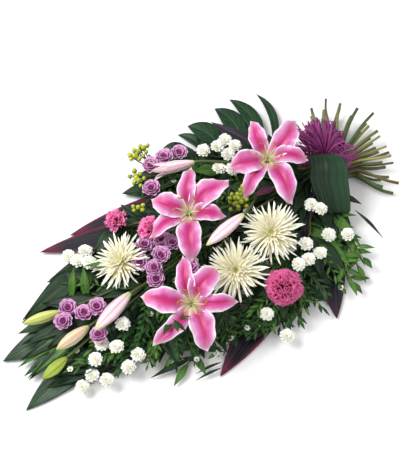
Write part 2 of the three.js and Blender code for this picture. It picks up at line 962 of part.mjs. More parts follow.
function mumHead({ at, face, radius }, index) {
  const random = seeded(51 + index);
  const frame = bloomFrame(place(at), facing(face));
  const { columns, depth, core } = MUM;
  const points = [frame.point(0, 0, -depth)];
  MUM_RINGS.forEach(({ wide, height }, i) => {
    for (let k = 0; k < columns; k++)
      points.push(frame.point((360 * (k + 0.5 * i)) / columns, core * wide, height));
  });
  points.push(frame.point(0, 0, 12));
  const ringStart = (i) => 1 + i * columns;
  const faces = [
    ...between(0, 1, ringStart(0), columns),
    ...between(ringStart(3), columns, points.length - 1, 1),
  ];
  MUM_BANDS.forEach(({ length, lift, girth }, i) => {
    for (const [a, b, c] of between(ringStart(i), columns, ringStart(i + 1), columns)) {
      const corners = [points[a], points[b], points[c]];
      const middle = corners.reduce((sum, p) => sum.add(p), new Vector3()).divideScalar(3);
      const local = middle.clone().sub(frame.at);
      const outward = local.addScaledVector(frame.axis, -local.dot(frame.axis)).normalize();
      const swing = 0.16 * (random() - 0.5);
      outward.addScaledVector(frame.axis.clone().cross(outward), swing).normalize();
      const size = radius * length * lerp(0.84, 1.06, random());
      const curl = lerp(-3, 9, random());
      const route = (raise) => {
        const slope = degToRad(lift + raise);
        const direction = outward
          .clone()
          .multiplyScalar(Math.cos(slope))
          .addScaledVector(frame.axis, Math.sin(slope));
        const along = (share) => middle.clone().addScaledVector(direction, size * share - core);
        return [along(0.55), along(1).addScaledVector(frame.axis, curl)];
      };
      const probe = (raise) => solidOf(tube([middle, ...route(raise)], (t) => 2 - t, 3));
      const raise = [0, 8, -6, 16, 24].find((r) => isClear(probe(r)));
      if (raise === undefined) {
        faces.push([a, b, c]);
        continue;
      }
      const [waist, tip] = route(raise);
      const start = points.length;
      corners.forEach((p) => points.push(p.clone().sub(middle).multiplyScalar(girth).add(waist)));
      points.push(tip);
      [a, b, c].forEach((from, k) => {
        const after = (k + 1) % 3;
        faces.push([from, [a, b, c][after], start + after], [from, start + after, start + k]);
        faces.push([start + k, start + after, start + 3]);
      });
    }
  });
  return solidOf(skin(points, faces));
}

// Carnation: one closed skin of ruffled lips, tier within tier, each lip waved by turns
// up and out and followed by a recess before the next
const CARNATION = { petals: 8, tiers: 4, depth: 9, recess: 0.15 };

function carnationHead({ at, face, radius }, index) {
  const random = seeded(71 + index);
  const frame = bloomFrame(place(at), facing(face));
  const steps = 2 * CARNATION.petals;
  const ring = (share, height, wave, tier) =>
    Array.from({ length: steps }, (_, k) => {
      const crest = (k + tier) % 2 === 0 ? 1 : -1;
      const ruffle = wave * (crest + lerp(-0.35, 0.35, random()));
      return frame.point((360 * k) / steps, radius * (share + 0.4 * ruffle), height + radius * ruffle);
    });
  const rings = [[frame.point(0, 0, -CARNATION.depth)]];
  rings.push(ring(0.3, -0.6 * CARNATION.depth, 0, 0));
  for (let tier = 0; tier < CARNATION.tiers; tier++) {
    const share = 1 - tier / CARNATION.tiers;
    const dome = radius * 0.72 * Math.sqrt(1 - share * share * 0.9);
    rings.push(ring(share * 0.92, dome, 0.1, tier));
    const inner = share - CARNATION.recess;
    const floor = Math.max(dome - 0.14 * radius, 0.32 * radius);
    if (tier < CARNATION.tiers - 1) rings.push(ring(inner, floor, 0.02, tier));
  }
  rings.push([frame.point(0, 0, radius * 0.62)]);
  return fused([loft(rings)]);
}

// The rings of a small double flower, from its underside: petal tips and notches by
// turns, each inner layer turned by half a petal and raised
function smallBloom(frame, { radius, petals, layers }) {
  const steps = 2 * petals;
  const rings = [];
  for (let layer = 0; layer < layers; layer++) {
    const share = 1 - layer / layers;
    rings.push(
      Array.from({ length: steps }, (_, k) => {
        const isTip = (k + layer) % 2 === 0;
        const wide = radius * (isTip ? share : share * 0.74);
        const high = layer * 4 + (isTip ? 1.2 : -0.6);
        return frame.point((360 * k) / steps, wide, high);
      }),
    );
  }
  rings.push([frame.point(0, 0, layers * 2.8)]);
  return rings;
}

// The rings of a berry, round with a short tip
function berry(frame) {
  const belt = (share, offset) =>
    Array.from({ length: 5 }, (_, k) =>
      frame.point(72 * k + offset, BERRY_RADIUS * Math.sqrt(1 - share * share), BERRY_RADIUS * share),
    );
  return [belt(-0.35, 0), belt(0.45, 36), [frame.point(0, 0, BERRY_RADIUS * 1.25)]];
}

// Where a spray divides: a little nearer the tie than its flowers, and below them
function hubOf(places) {
  const mean = (k) => places.reduce((sum, p) => sum + p[k], 0) / places.length;
  const least = (k) => Math.min(...places.map((p) => p[k]));
  return [mean(0), least(1) - 34, Math.max(least(2) - 14, 24)];
}

const TWIG_RADIUS = 1.2;
const TWIG_APPROACH = 5;

function spray({ name, slot }, places, headRings, depth, look) {
  const hub = place(hubOf(places));
  const outward = hub.clone().setZ(0).normalize();
  const arrival = outward.clone().setZ(0.3).normalize();
  const lineOf = (bend) => stemLine(slot, hub, arrival, { bend, back: 60 });
  const stem = (bend) => solidOf(stemTube(lineOf(bend), 1.9));
  const bend = BENDS.find((one) => isClear(stem(one))) ?? STRAIGHT;
  const solids = [stem(bend)];
  const route = new THREE.CatmullRomCurve3(lineOf(bend).slice(-2));
  places.forEach((spot, i) => {
    const random = seeded(7 * i + slot[0] * 13 + slot[1]);
    const axis = facing([24 * random(), 360 * random()]);
    const root = route.getPointAt(1 - 0.04 - (0.5 * i) / places.length);
    const flower = (lift) => {
      const at = place(spot);
      at.z += lift;
      const frame = bloomFrame(at, axis, at.clone().sub(root).cross(axis));
      const foot = frame.point(0, 0, -depth);
      const line = bezier(
        root,
        root.clone().addScaledVector(arrival, 14).add(new Vector3(0, 0, 6)),
        foot.clone().addScaledVector(axis, -16),
        foot,
        2,
      );
      const below = foot.clone().sub(line[1]).dot(axis);
      line[1].addScaledVector(axis, Math.min(below - TWIG_APPROACH, 0));
      const twig = ringsAlong(line, () => TWIG_RADIUS, 3, {
        seedIndex: 2,
        seedSide: frame.outward(0),
        ending: axis,
      });
      return solidOf(loft([...twig, ...headRings(frame)]));
    };
    const made = bentClear(flower, alternating(5, 9));
    if (made) solids.push(made);
  });
  stand(name, joined(solids), look);
}

// A large leaf: a stalk out of the tie, and a blade with gently waved edges
function leafBlade(root, tip, half, { edge = 0, sag = 0, peak = 0.42, steps = 5, seed = 5 } = {}) {
  const random = seeded(seed);
  const phase = 6 * random();
  const run = tip.clone().sub(root);
  const bow = new Vector3(0, 0, sag);
  const line = bezier(
    root,
    root.clone().addScaledVector(run, 0.33).add(bow),
    root.clone().addScaledVector(run, 0.7).add(bow),
    tip,
    steps,
  );
  const tilt = degToRad(edge);
  const across = (direction) => {
    const level = new Vector3(0, 0, 1).cross(direction).normalize();
    return level.applyAxisAngle(direction, tilt);
  };
  return blade(line, {
    halfAt: (t) => (t === 0 ? 2.6 : half * lance(t, peak)),
    across,
    shares: [-1, 0, 1],
    dish: (t, share) =>
      share === 0 ? -0.6 : 0.05 * half + 0.9 * Math.sin(11 * t + phase + 1.5 * share),
    thickness: LEAF_THICKNESS,
  });
}

function standLeaf({ name, slot, root, tip, half, edge }, look, seed) {
  const make = (bend) => {
    const from = place(root);
    const to = place(tip);
    from.z = Math.max(from.z + bend.lift, 3.4);
    const arrival = to.clone().sub(from).normalize();
    const stalkEnd = from.clone().addScaledVector(arrival, 10);
    const line = stemLine(slot, stalkEnd, arrival, { back: 40, bend });
    return fused([
      stemTube(line, 1.6),
      leafBlade(from, to, half, { edge, seed, sag: Math.max(0.4 * bend.lift, 0) }),
    ]);
  };
  stand(name, bentClear(make, BENDS) ?? make(STRAIGHT), look);
}

function standLeafyTip({ name, slot, hub, blades }, look) {
  const end = place(hub);
  const outward = end.clone().setZ(0).normalize();
  const make = (bend) => {
    const foot = end.clone();
    foot.z = Math.max(foot.z + bend.lift, 4);
    const line = stemLine(slot, foot, outward, { back: 60, bend });
    return fused([
      stemTube(line, 2.2),
      ...blades.map(({ tip, half }, i) => {
        const to = place(tip);
        to.z = Math.max(to.z + 0.5 * bend.lift, 1.5);
        const from = foot.clone().addScaledVector(outward, -6 - 24 * i);
        from.z += 0.6 * i;
        return leafBlade(from, to, half, { seed: 3 + i, sag: 3 + 4 * i, peak: 0.5 });
      }),
    ]);
  };
  stand(name, bentClear(make, BENDS) ?? make(STRAIGHT), look);
}

// The middle line of a lobe, which leaves the midrib steeply and hooks toward the leaf's end
function lobeLine(start, point, arrival, hook) {
  const up = new Vector3(0, 0, 1);
  const run = point.clone().sub(start);
  const turn = degToRad(hook) * Math.sign(run.x * arrival.y - run.y * arrival.x);
  const lead = run.clone().applyAxisAngle(up, -turn).multiplyScalar(0.36).add(start);
  const back = run.clone().applyAxisAngle(up, turn).multiplyScalar(0.36);
  const swing = point.clone().sub(back);
  lead.z = start.z + 3;
  swing.z = start.z + 3;
  return bezier(start, lead, swing, point, 3);
}

// The deeply cut leaf: pointed lobes off both sides of the midrib
function standCutLeaf({ name, slot, root, end, height, midrib, hook, lobes }, look) {
  const make = (lift) => {
    const from = place([...root, height + lift]);
    const to = place([...end, height - 5 + lift]);
    const arrival = to.clone().sub(from).normalize();
    const pieces = [
      stemTube(stemLine(slot, from, arrival, { back: 40 }), 2.4),
      tube(
        [from.clone().addScaledVector(arrival, -8), from.clone().lerp(to, 0.5), to],
        (t) => lerp(midrib, 1, t),
        4,
      ),
    ];
    for (const [share, tip, half] of lobes) {
      const start = from.clone().lerp(to, share);
      const point = place([...tip, Math.max(height - 8, 2)]);
      pieces.push(
        blade(lobeLine(start, point, arrival, hook), {
          halfAt: (t) => half * lance(t, 0.48),
          across: (direction) => new Vector3(0, 0, 1).cross(direction).normalize(),
          shares: [-1, 0, 1],
          dish: (t, share) => (share === 0 ? -0.8 : 0.8),
          thickness: LEAF_THICKNESS,
        }),
      );
    }
    return fused(pieces);
  };
  stand(name, bentClear(make, alternating(1.5, 13)) ?? make(0), look);
}

// The loop leaf: a broad blade along its own bent line, on a stalk from the tie
function standLoopLeaf({ name, slot, half, line }, look) {
  const points = line.map((p) => new Vector3(...p));
  const route = new THREE.CatmullRomCurve3(points).getPoints(10);
  const level = new Vector3(0.81, -0.58, 0).normalize();
  const make = () => {
    const stalk = stemLine(slot, points[0].clone().lerp(points[1], 0.1), tangents(points)[0], {
      back: 20,
    });
    return fused([
      stemTube(stalk, 2),
      blade(route, {
        halfAt: (t) => (t === 0 ? 3 : Math.max(half * lance(lerp(0.1, 0.94, t), 0.5), 3)),
        across: level,
        shares: [-1, 0, 1],
        dish: (t, share) => (share === 0 ? -1 : 0),
        thickness: LEAF_THICKNESS,
      }),
    ]);
  };
  stand(name, make(), look);
}

// Narrow leaflets by turns on both sides of a stem, each bent clear of all but its own node
function leafletsOn(route, { bare, reach = 1, leaflets, length, half }, seed, ownName) {
  const random = seeded(seed);
  const solids = [];
  for (let k = 0; k < leaflets; k++) {
    const t = Math.min(lerp(bare, reach, k / (leaflets - 1)), 0.995);
    const foot = route.getPointAt(t);
    const heading = route.getTangentAt(t).setZ(0).normalize();
    const isLast = k === leaflets - 1 && reach === 1;
    const turn = isLast ? 0 : (k % 2 ? 1 : -1) * degToRad(lerp(34, 62, random()));
    const out = heading.applyAxisAngle(new Vector3(0, 0, 1), turn);
    const size = length * lerp(0.75, 1.05, random());
    const rise = lerp(0, 16, random());
    const leaflet = (raise) => {
      const to = foot.clone().addScaledVector(out, size);
      to.z = Math.max(foot.z + rise + raise - 6, 1.5);
      const middle = foot.clone().lerp(to, 0.5);
      middle.z += 5;
      return solidOf(
        blade(bezier(foot.clone(), middle, middle, to, 3), {
          halfAt: (s) => half * lance(s, 0.45),
          across: (direction) => new Vector3(0, 0, 1).cross(direction).normalize(),
          shares: [-1, 0, 1],
          dish: (s, share) => (share === 0 ? -0.9 : 0.3),
          thickness: LEAFLET_THICKNESS,
        }),
      );
    };
    const made = bentClear(leaflet, alternating(4, 11), ownName);
    if (made) solids.push(made);
  }
  return solids;
}

function standLeafySpray({ name, slot, end, ...leafing }, look, seed) {
  const tip = place(end);
  const outward = tip.clone().setZ(0).normalize();
  const arrival = outward.clone().setZ(-0.1).normalize();
  const lineOf = (bend) => stemLine(slot, tip, arrival, { bend, back: 70, steps: 5 });
  const stem = (bend) => solidOf(stemTube(lineOf(bend), 1.3));
  const bend = BENDS.find((one) => isClear(stem(one))) ?? STRAIGHT;
  const leaflets = leafletsOn(routeOf(lineOf(bend)), leafing, seed);
  stand(name, joined([stem(bend), ...leaflets]), look);
}

function leafOut({ stem, ...leafing }, seed) {
  const own = standing.find(({ name }) => name === stem);
  own.solid = joined([own.solid, ...leafletsOn(routes[stem], leafing, seed, stem)]);
  own.box = own.solid.boundingBox();
}

// What holds the sheaf together
stand("binding_tie", fused([band(TIE_CLEARANCE, TIE_WALL, RAFFIA_WALL + GAP, TIE_LENGTH)]), FINISH.string);
const WRAP_MARGIN = TIE_CLEARANCE + TIE_WALL + GAP;
stand(
  "raffia_bow",
  fused([band(WRAP_MARGIN, RAFFIA_WALL, 0, RAFFIA_LENGTH), ...raffiaBow()]),
  FINISH.raffia,
);

// The large blooms stand first
LILIES.forEach((lily, i) => {
  stand(`${lily.name}_petals`, lilyPetals(lily, i), FINISH.lily);
  stand(`${lily.name}_stamens`, lilyStamens(lily), FINISH.stamens);
});
BUDS.forEach((bud, i) => stand(bud.name, lilyBud(bud), i < 3 ? FINISH.budPink : FINISH.budGreen));
CARNATIONS.forEach((head, i) => stand(head.name, carnationHead(head, i), FINISH.carnation));
MUMS.forEach((head, i) => stand(head.name, mumHead(head, i), FINISH.white));

// Stems of the blooms. A lily stem may carry more than one bloom or bud, and a carnation
// sits in a calyx.
const CALYX = [
  [22, 1.8],
  [12, 5],
  [0, 5.4],
];

function pedicel(line, share, bud) {
  const stem = routeOf(line);
  const from = stem.getPointAt(share);
  const heading = stem.getTangentAt(share);
  const base = place(bud.base);
  const axis = place(bud.tip).sub(base).normalize();
  const foot = base.clone().addScaledVector(axis, -GAP);
  const route = bezier(
    from,
    from.clone().addScaledVector(heading, 25),
    foot.clone().addScaledVector(axis, -30),
    foot,
    3,
  );
  return tube(route, (t) => lerp(2, 2.6, t), STEM_SIDES, { ending: axis });
}

function standLilyStem(name, lily, sideBuds) {
  const axis = facing(lily.face);
  const end = place(lily.at).addScaledVector(axis, -LILY_THROAT - LILY_PLUG - GAP);
  standStem(name, BLOOM_SLOTS[name], end, axis, {
    endRadius: 2.6,
    back: 46,
    extra: (line) => sideBuds.map(([share, bud]) => pedicel(line, share, bud)),
  });
}
standLilyStem("lily_stem_1", LILIES[0], [[0.35, BUDS[0]]]);
standLilyStem("lily_stem_2", LILIES[1], [[0.4, BUDS[1]]]);
standLilyStem("lily_stem_3", LILIES[2], []);
{
  const end = place(BUDS[2].base);
  const axis = place(BUDS[2].tip).sub(end).normalize();
  standStem("lily_stem_tip", BLOOM_SLOTS.lily_stem_tip, end.addScaledVector(axis, -GAP), axis, {
    endRadius: 2.6,
    back: 60,
    sag: 44,
    extra: (line) => [
      pedicel(line, 0.74, BUDS[3]),
      pedicel(line, 0.66, BUDS[4]),
      pedicel(line, 0.7, BUDS[5]),
    ],
  });
}
for (const { name, at, face } of MUMS) {
  const axis = facing(face);
  const end = place(at).addScaledVector(axis, -MUM.depth - GAP);
  standStem(`${name}_stem`, BLOOM_SLOTS[name], end, axis, { endRadius: 2.4, head: [[0, 3.4]] });
}
for (const { name, at, face } of CARNATIONS) {
  const axis = facing(face);
  const end = place(at).addScaledVector(axis, -CARNATION.depth - GAP);
  standStem(`${name}_stem`, BLOOM_SLOTS[name], end, axis, { endRadius: 1.8, head: CALYX });
}

// Leaves and fillers are bent clear of all that stands by then
standLoopLeaf(LOOP_LEAF, FINISH.leaf);
standCutLeaf(CUT_LEAF, FINISH.leaf);
CORDYLINES.forEach((leaf, i) => standLeaf(leaf, FINISH.cordyline, 11 + i));
TIP_LEAVES.forEach((leaf) => standLeafyTip(leaf, FINISH.leaf));
const sprayOf = (kind, look) => (one) =>
  spray(one, one.blooms, (frame) => smallBloom(frame, kind), kind.depth, look);
MAUVE_SPRAYS.forEach(sprayOf(MAUVE_BLOOM, FINISH.mauve));
WHITE_SPRAYS.forEach(sprayOf(WHITE_BLOOM, FINISH.white));
for (const one of BERRY_SPRAYS) spray(one, one.berries, berry, BERRY_RADIUS, FINISH.berry);
LEAFY_SPRAYS.forEach((one, i) => standLeafySpray(one, FINISH.leaflet, 91 + i));
STEM_LEAVES.forEach((one, i) => leafOut(one, 121 + i));

function meshOf({ name, solid, look }) {
  const { numProp, vertProperties, triVerts } = solid.getMesh();
  const positions = new Float32Array((vertProperties.length / numProp) * 3);
  for (let i = 0; i < positions.length / 3; i++)
    positions.set(vertProperties.subarray(i * numProp, i * numProp + 3), i * 3);
  const geometry = new THREE.BufferGeometry();
  geometry.setAttribute("position", new THREE.BufferAttribute(positions, 3));
  geometry.setIndex(new THREE.BufferAttribute(triVerts, 1));
  geometry.computeVertexNormals();
  const mesh = new THREE.Mesh(geometry, new THREE.MeshStandardMaterial(look));
  mesh.name = name;
  return mesh;
}

const sheaf = new THREE.Group();
standing.forEach((one) => sheaf.add(meshOf(one)));

export default sheaf;
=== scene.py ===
"""The flower sheaf as it looks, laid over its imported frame.

Shapes are worked out in millimetres in the sheaf's own frame: the origin lies on the ground
under the tie, +X points to the cut stem ends, -X to the flowers. They are made in metres.
"""

import math

import bpy
import numpy as np
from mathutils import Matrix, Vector
from mathutils.kdtree import KDTree


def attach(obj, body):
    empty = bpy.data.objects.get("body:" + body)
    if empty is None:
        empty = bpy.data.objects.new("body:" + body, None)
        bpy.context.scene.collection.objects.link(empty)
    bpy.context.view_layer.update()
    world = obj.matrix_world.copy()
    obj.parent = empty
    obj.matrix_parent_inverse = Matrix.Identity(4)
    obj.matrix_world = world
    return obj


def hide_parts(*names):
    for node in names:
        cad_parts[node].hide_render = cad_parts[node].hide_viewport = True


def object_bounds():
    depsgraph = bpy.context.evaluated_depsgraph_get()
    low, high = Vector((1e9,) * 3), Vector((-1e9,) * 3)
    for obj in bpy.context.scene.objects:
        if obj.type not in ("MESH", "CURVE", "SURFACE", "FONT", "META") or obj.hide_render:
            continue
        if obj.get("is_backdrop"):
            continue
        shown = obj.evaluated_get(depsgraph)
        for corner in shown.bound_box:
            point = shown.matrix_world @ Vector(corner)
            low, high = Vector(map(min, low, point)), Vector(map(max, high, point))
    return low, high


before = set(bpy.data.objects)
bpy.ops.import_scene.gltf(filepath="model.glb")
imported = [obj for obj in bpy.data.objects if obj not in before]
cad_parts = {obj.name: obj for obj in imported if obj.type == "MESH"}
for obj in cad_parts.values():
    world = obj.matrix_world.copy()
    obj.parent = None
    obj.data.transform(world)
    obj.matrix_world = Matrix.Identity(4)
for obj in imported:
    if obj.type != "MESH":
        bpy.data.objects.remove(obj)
size_at_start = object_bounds()

MM = 0.001
UP = np.array([0.0, 0.0, 1.0])
EAST = np.array([1.0, 0.0, 0.0])
LEVEL = np.array([1, 1, 0])
GOLDEN_TURN = 137.5
GOLDEN_SHARE = 0.618034

# The bundle in the tie, as in the frame
STEM_RADIUS = 3.3
ROW_PITCH = 7
COLUMN_PITCH = 7.4
COLUMNS = 10
ROWS = 4
BUNDLE_FLOOR = 4.9
BUNDLE_HALF_WIDTH = (COLUMNS - 1) * COLUMN_PITCH / 2 + STEM_RADIUS
BUNDLE_HEIGHT = (ROWS - 1) * ROW_PITCH + 2 * STEM_RADIUS
GAP = 0.3
TIE_CLEARANCE = 0.6
TIE_WALL = 2
TIE_LENGTH = 16
RAFFIA_WALL = 2
RAFFIA_LENGTH = 46
TAIL_LENGTHS = [100, 142, 148, 125, 117]
TAIL_TURNS = (56, -46)
TAIL_RISE = 15
TAIL_FLOOR = 6
TAIL_WANDER = 8
TAIL_SHARES = (0.74, 1.06)
TAIL_HANDLE = 0.45
TIE_HANDLE = 40
LEAVING_HANDLE = 0.3
LEAVING_ROW_LIFT = 5
ARRIVING_SHARE = 0.4

# How many steps the frame's stems are built in, and the fine ones
FRAME_STEPS = 3
FRAME_TAIL_STEPS = 2
FRAME_SIDES = 5
FINE_STEPS = 26
FINE_TAIL_STEPS = 8
SLIMMEST_TAIL = 0.6

LILY_THROAT = 30
LILY_PLUG = 8
# A petal is told by its turn and its length; every second one is a broad one
LILIES = {
    "lily_1": {
        "at": [20, 126, 130],
        "face": [16, -126],
        "petals": [[78, 84], [19, 98], [-36, 80], [-98, 102], [-156, 92], [160, 78]],
    },
    "lily_2": {
        "at": [6.6, 312, 136],
        "face": [16, -140],
        "petals": [[52, 90], [4, 98], [-42, 72], [-121, 95], [177, 88], [124, 76]],
    },
    "lily_3": {
        "at": [-15.5, 425, 130],
        "face": [18, -120],
        "petals": [[66, 90], [21, 82], [-32, 86], [-106, 92], [-167, 104], [138, 94]],
    },
}
BUDS = {
    "bud_open": {"base": [31, 262, 92], "tip": [28.8, 349, 90], "radius": 13},
    "bud_blush": {"base": [-6.7, 231, 132], "tip": [-7.1, 326, 138], "radius": 13},
    "bud_pink": {"base": [-1.6, 478, 78], "tip": [-3.8, 572, 84], "radius": 15},
    "bud_cream": {"base": [-1.6, 572, 58], "tip": [-1.6, 644, 56], "radius": 13},
    "bud_lime": {"base": [4.1, 598, 48], "tip": [5.7, 668, 42], "radius": 11},
    "bud_green": {"base": [-3.3, 637, 42], "tip": [-3.6, 694, 40], "radius": 12},
}
MUM_DEPTH = 10
MUMS = {
    "chrysanthemum_1": {"at": [-21, 216, 106], "face": [20, -140], "radius": 62},
    "chrysanthemum_2": {"at": [-18, 313, 96], "face": [24, -130], "radius": 64},
    "chrysanthemum_3": {"at": [6.2, 458, 76], "face": [22, 170], "radius": 60},
}
CARNATION_DEPTH = 9
CARNATIONS = {
    "carnation_1": {"at": [-35, 293, 74], "face": [30, -135], "radius": 37},
    "carnation_2": {"at": [18, 429, 56], "face": [35, 150], "radius": 25},
    "carnation_3": {"at": [10, 377, 84], "face": [20, 160], "radius": 28},
}
MAUVE_SPRAYS = {
    "mauve_spray_upper": ([2, 0], [[33.4, 346, 62], [36, 320, 66], [38.5, 292, 60], [23.7, 351, 76]]),
    "mauve_spray_middle": (
        [2, 4],
        [
            [7, 405, 82], [3.2, 430, 80], [5.4, 372, 84], [1.2, 393, 92],
            [-2.9, 424, 78], [2.4, 361, 90], [-6.5, 364, 90], [-0.4, 414, 84],
        ],
    ),
    "mauve_spray_tip": (
        [1, 4],
        [[3.8, 584, 54], [1.9, 604, 50], [0.8, 566, 60], [0.4, 540, 64], [-4.2, 568, 56]],
    ),
}
WHITE_SPRAYS = {
    "white_spray_tie": ([3, 7], [[-35, 113, 72], [-44, 120, 76], [-52, 166, 62], [-66, 160, 44]]),
    "white_spray_side": (
        [3, 5],
        [[-31, 207, 76], [-39, 203, 84], [-42, 228, 76], [-47, 211, 72], [-38, 245, 80]],
    ),
    "white_spray_right": ([1, 7], [[-40, 368, 26], [-32.5, 345, 46]]),
    "white_spray_tip": (
        [1, 5],
        [[-5.6, 523, 62], [-5.4, 572, 48], [-8, 558, 52], [-11.8, 540, 46], [-6.8, 599, 40]],
    ),
    "white_spray_low": ([1, 6], [[-10.5, 609, 26], [-8.3, 648, 18], [-11.8, 566, 32], [-8.1, 622, 26]]),
    "white_spray_left": ([1, 2], [[14.2, 538, 38], [12.3, 526, 42], [13.6, 506, 46], [10.6, 508, 44]]),
    "white_spray_upper": (
        [3, 1],
        [
            [43, 218, 64], [48, 205, 62], [44, 183, 68], [37.5, 195, 70],
            [41, 244, 58], [28, 215, 76], [26, 190, 80],
        ],
    ),
}
BERRY_RADIUS = 5
BERRY_SPRAYS = {
    "berry_spray_near": (
        [3, 3],
        [[11, 186, 78], [8.5, 192, 82], [6, 196, 80], [8.8, 206, 78], [6, 212, 76], [3.4, 204, 78]],
    ),
    "berry_spray_far": (
        [2, 1],
        [[41, 362, 54], [39.5, 372, 56], [38, 380, 52], [31, 378, 56], [29, 372, 60], [19.5, 384, 68]],
    ),
}
CORDYLINES = {
    "cordyline_left_upper": {"slot": [0, 2], "root": [25, 190, 11], "tip": [20.9, 522, 2], "half": 31},
    "cordyline_left_lower": {"slot": [0, 3], "root": [14.5, 270, 15], "tip": [18.6, 588, 7], "half": 25},
    "cordyline_bottom": {"slot": [0, 8], "root": [-38, 205, 8], "tip": [-27.5, 476, 2], "half": 29},
    "cordyline_right": {"slot": [0, 9], "root": [-50, 100, 12], "tip": [-55.5, 312, 4], "half": 27},
    "cordyline_top": {"slot": [3, 0], "root": [46, 95, 40], "tip": [60.4, 250, 34], "half": 13},
    "cordyline_side": {
        "slot": [3, 6],
        "root": [-25, 62, 52],
        "tip": [-37.7, 190, 60],
        "half": 22,
        "edge": 75,
    },
}
DARK_CORDYLINES = ("cordyline_right", "cordyline_top", "cordyline_side")
TIP_LEAVES = {
    "tip_leaves_left": (
        [0, 4],
        [6.4, 440, 9],
        [([7.2, 668, 6], 25), ([11.5, 583, 16], 22), ([10.4, 527, 40], 10)],
    ),
    "tip_leaves_middle": (
        [0, 5],
        [1.5, 485, 9],
        [([3.1, 733, 1.5], 30), ([5.5, 684, 12], 19), ([-0.8, 716, 8], 17)],
    ),
    "tip_leaves_right": ([0, 6], [-3, 470, 8], [([-4.9, 749, 1.5], 31)]),
    "upper_leaves": ([0, 1], [34, 200, 14], [([29.2, 408, 10], 26), ([37, 352, 20], 20)]),
}
CUT_LEAF = {
    "slot": [0, 0],
    "root": [60, 108],
    "end": [40, 305],
    "height": 13,
    "midrib": 3.2,
    "hook": 35,
    "lobes": [
        (0.05, [91, 231], 8), (0.16, [79, 258], 15), (0.32, [71, 268], 20), (0.5, [58, 297], 21),
        (0.66, [53, 309], 10), (0.82, [44, 333], 21), (0.45, [35, 215], 19),
    ],
}
LOOP_LEAF = {
    "slot": [3, 9],
    "half": 37,
    "line": [
        [-60, -52, 36], [-54, -94, 42], [-45, -74, 62], [-33, -44, 80],
        [-20, -26, 92], [-12, -5, 92], [-10, 9, 80], [-12, 5, 66],
    ],
}
# The leaves along a stem: the shares of it where they begin and end, how many, length, half-width
LEAFY_SPRAYS = {
    "foliage_right": ([1, 9], [-68, 213, 16], (0.42, 1, 8, 42, 7)),
    "foliage_side": ([1, 8], [-62, 246, 30], (0.4, 1, 6, 44, 7)),
    "foliage_bottom": ([0, 7], [-20, 488, 8], (0.62, 1, 9, 50, 9)),
}
STEM_LEAVES = {
    "lily_stem_2": (0.42, 0.86, 3, 84, 14),
    "lily_stem_3": (0.4, 0.98, 4, 84, 14),
    "lily_stem_tip": (0.56, 0.92, 3, 84, 14),
    "chrysanthemum_2_stem": (0.45, 1, 4, 80, 14),
    "chrysanthemum_3_stem": (0.6, 0.96, 3, 74, 13),
    "carnation_1_stem": (0.5, 0.96, 3, 74, 13),
}
BLOOM_SLOTS = {
    "lily_stem_1": [3, 2],
    "lily_stem_2": [2, 3],
    "lily_stem_3": [2, 5],
    "lily_stem_tip": [1, 3],
    "chrysanthemum_1": [3, 4],
    "chrysanthemum_2": [2, 6],
    "chrysanthemum_3": [1, 1],
    "carnation_1": [2, 7],
    "carnation_2": [1, 0],
    "carnation_3": [2, 2],
}


def lerp(low, high, share):
    return low + (high - low) * share


def smooth(value, low, high):
    share = np.clip((value - low) / (high - low), 0, 1)
    return share * share * (3 - 2 * share)


def unit(vector):
    return vector / np.linalg.norm(vector)


def seeded(seed):
    """Random numbers from 0 to 1 that are the same each time"""
    state = seed

    def draw(low=0.0, high=1.0):
        nonlocal state
        state = (state * 1664525 + 1013904223) % 4294967296
        return lerp(low, high, state / 4294967296)

    return draw


def place(spot):
    """A place told from the tie: the angle turns from the flower end towards +Y"""
    angle, reach, height = [*spot, 0][:3]
    turn = math.radians(angle)
    return np.array([-reach * math.cos(turn), reach * math.sin(turn), float(height)])


def even_shares(line):
    """Even steps from 0 to 1, as many as the line has points"""
    return np.linspace(0, 1, len(line))


def raised(point, height, floor):
    """A point raised by a height, but never below a floor"""
    return np.array([point[0], point[1], max(point[2] + height, floor)])


def level_way(turn):
    return np.array([math.cos(turn), math.sin(turn), 0])


def facing(face):
    tilt, toward = [math.radians(degrees) for degrees in face]
    level = math.sin(tilt)
    return np.array([level * math.cos(toward), level * math.sin(toward), math.cos(tilt)])


def turned(vector, axis, degrees):
    """A vector turned about an axis"""
    turn = math.radians(degrees)
    along = axis * axis.dot(vector)
    return along + (vector - along) * math.cos(turn) + np.cross(axis, vector) * math.sin(turn)


# The middles of the small flowers, noted as they are made, for the leaves to keep off them
HEADS = []


class Bloom:
    """A bloom's own frame: directions count round its axis from one that can be given"""

    def __init__(self, at, axis, zero=EAST):
        self.at = np.asarray(at, float)
        self.axis = axis
        self.x = unit(zero - axis * axis.dot(zero))
        self.y = np.cross(axis, self.x)

    def outward(self, degrees):
        turn = np.radians(degrees)[..., None] if np.ndim(degrees) else math.radians(degrees)
        return self.x * np.cos(turn) + self.y * np.sin(turn)

    def point(self, degrees, distance, height):
        degrees, distance, height = np.broadcast_arrays(degrees, distance, height)
        out = self.outward(degrees.astype(float))
        return self.at + out * distance[..., None] + self.axis * height[..., None]

    def on_axis(self, height):
        return self.at + self.axis * height

    def curve(self, steps, *spots):
        """A smooth line, told by four places"""
        return bezier(*[self.point(*spot) for spot in spots], steps)


def bezier(a, b, c, d, steps):
    t = np.linspace(0, 1, steps + 1)[:, None]
    s = 1 - t
    return s**3 * a + 3 * s * s * t * b + 3 * s * t * t * c + t**3 * d


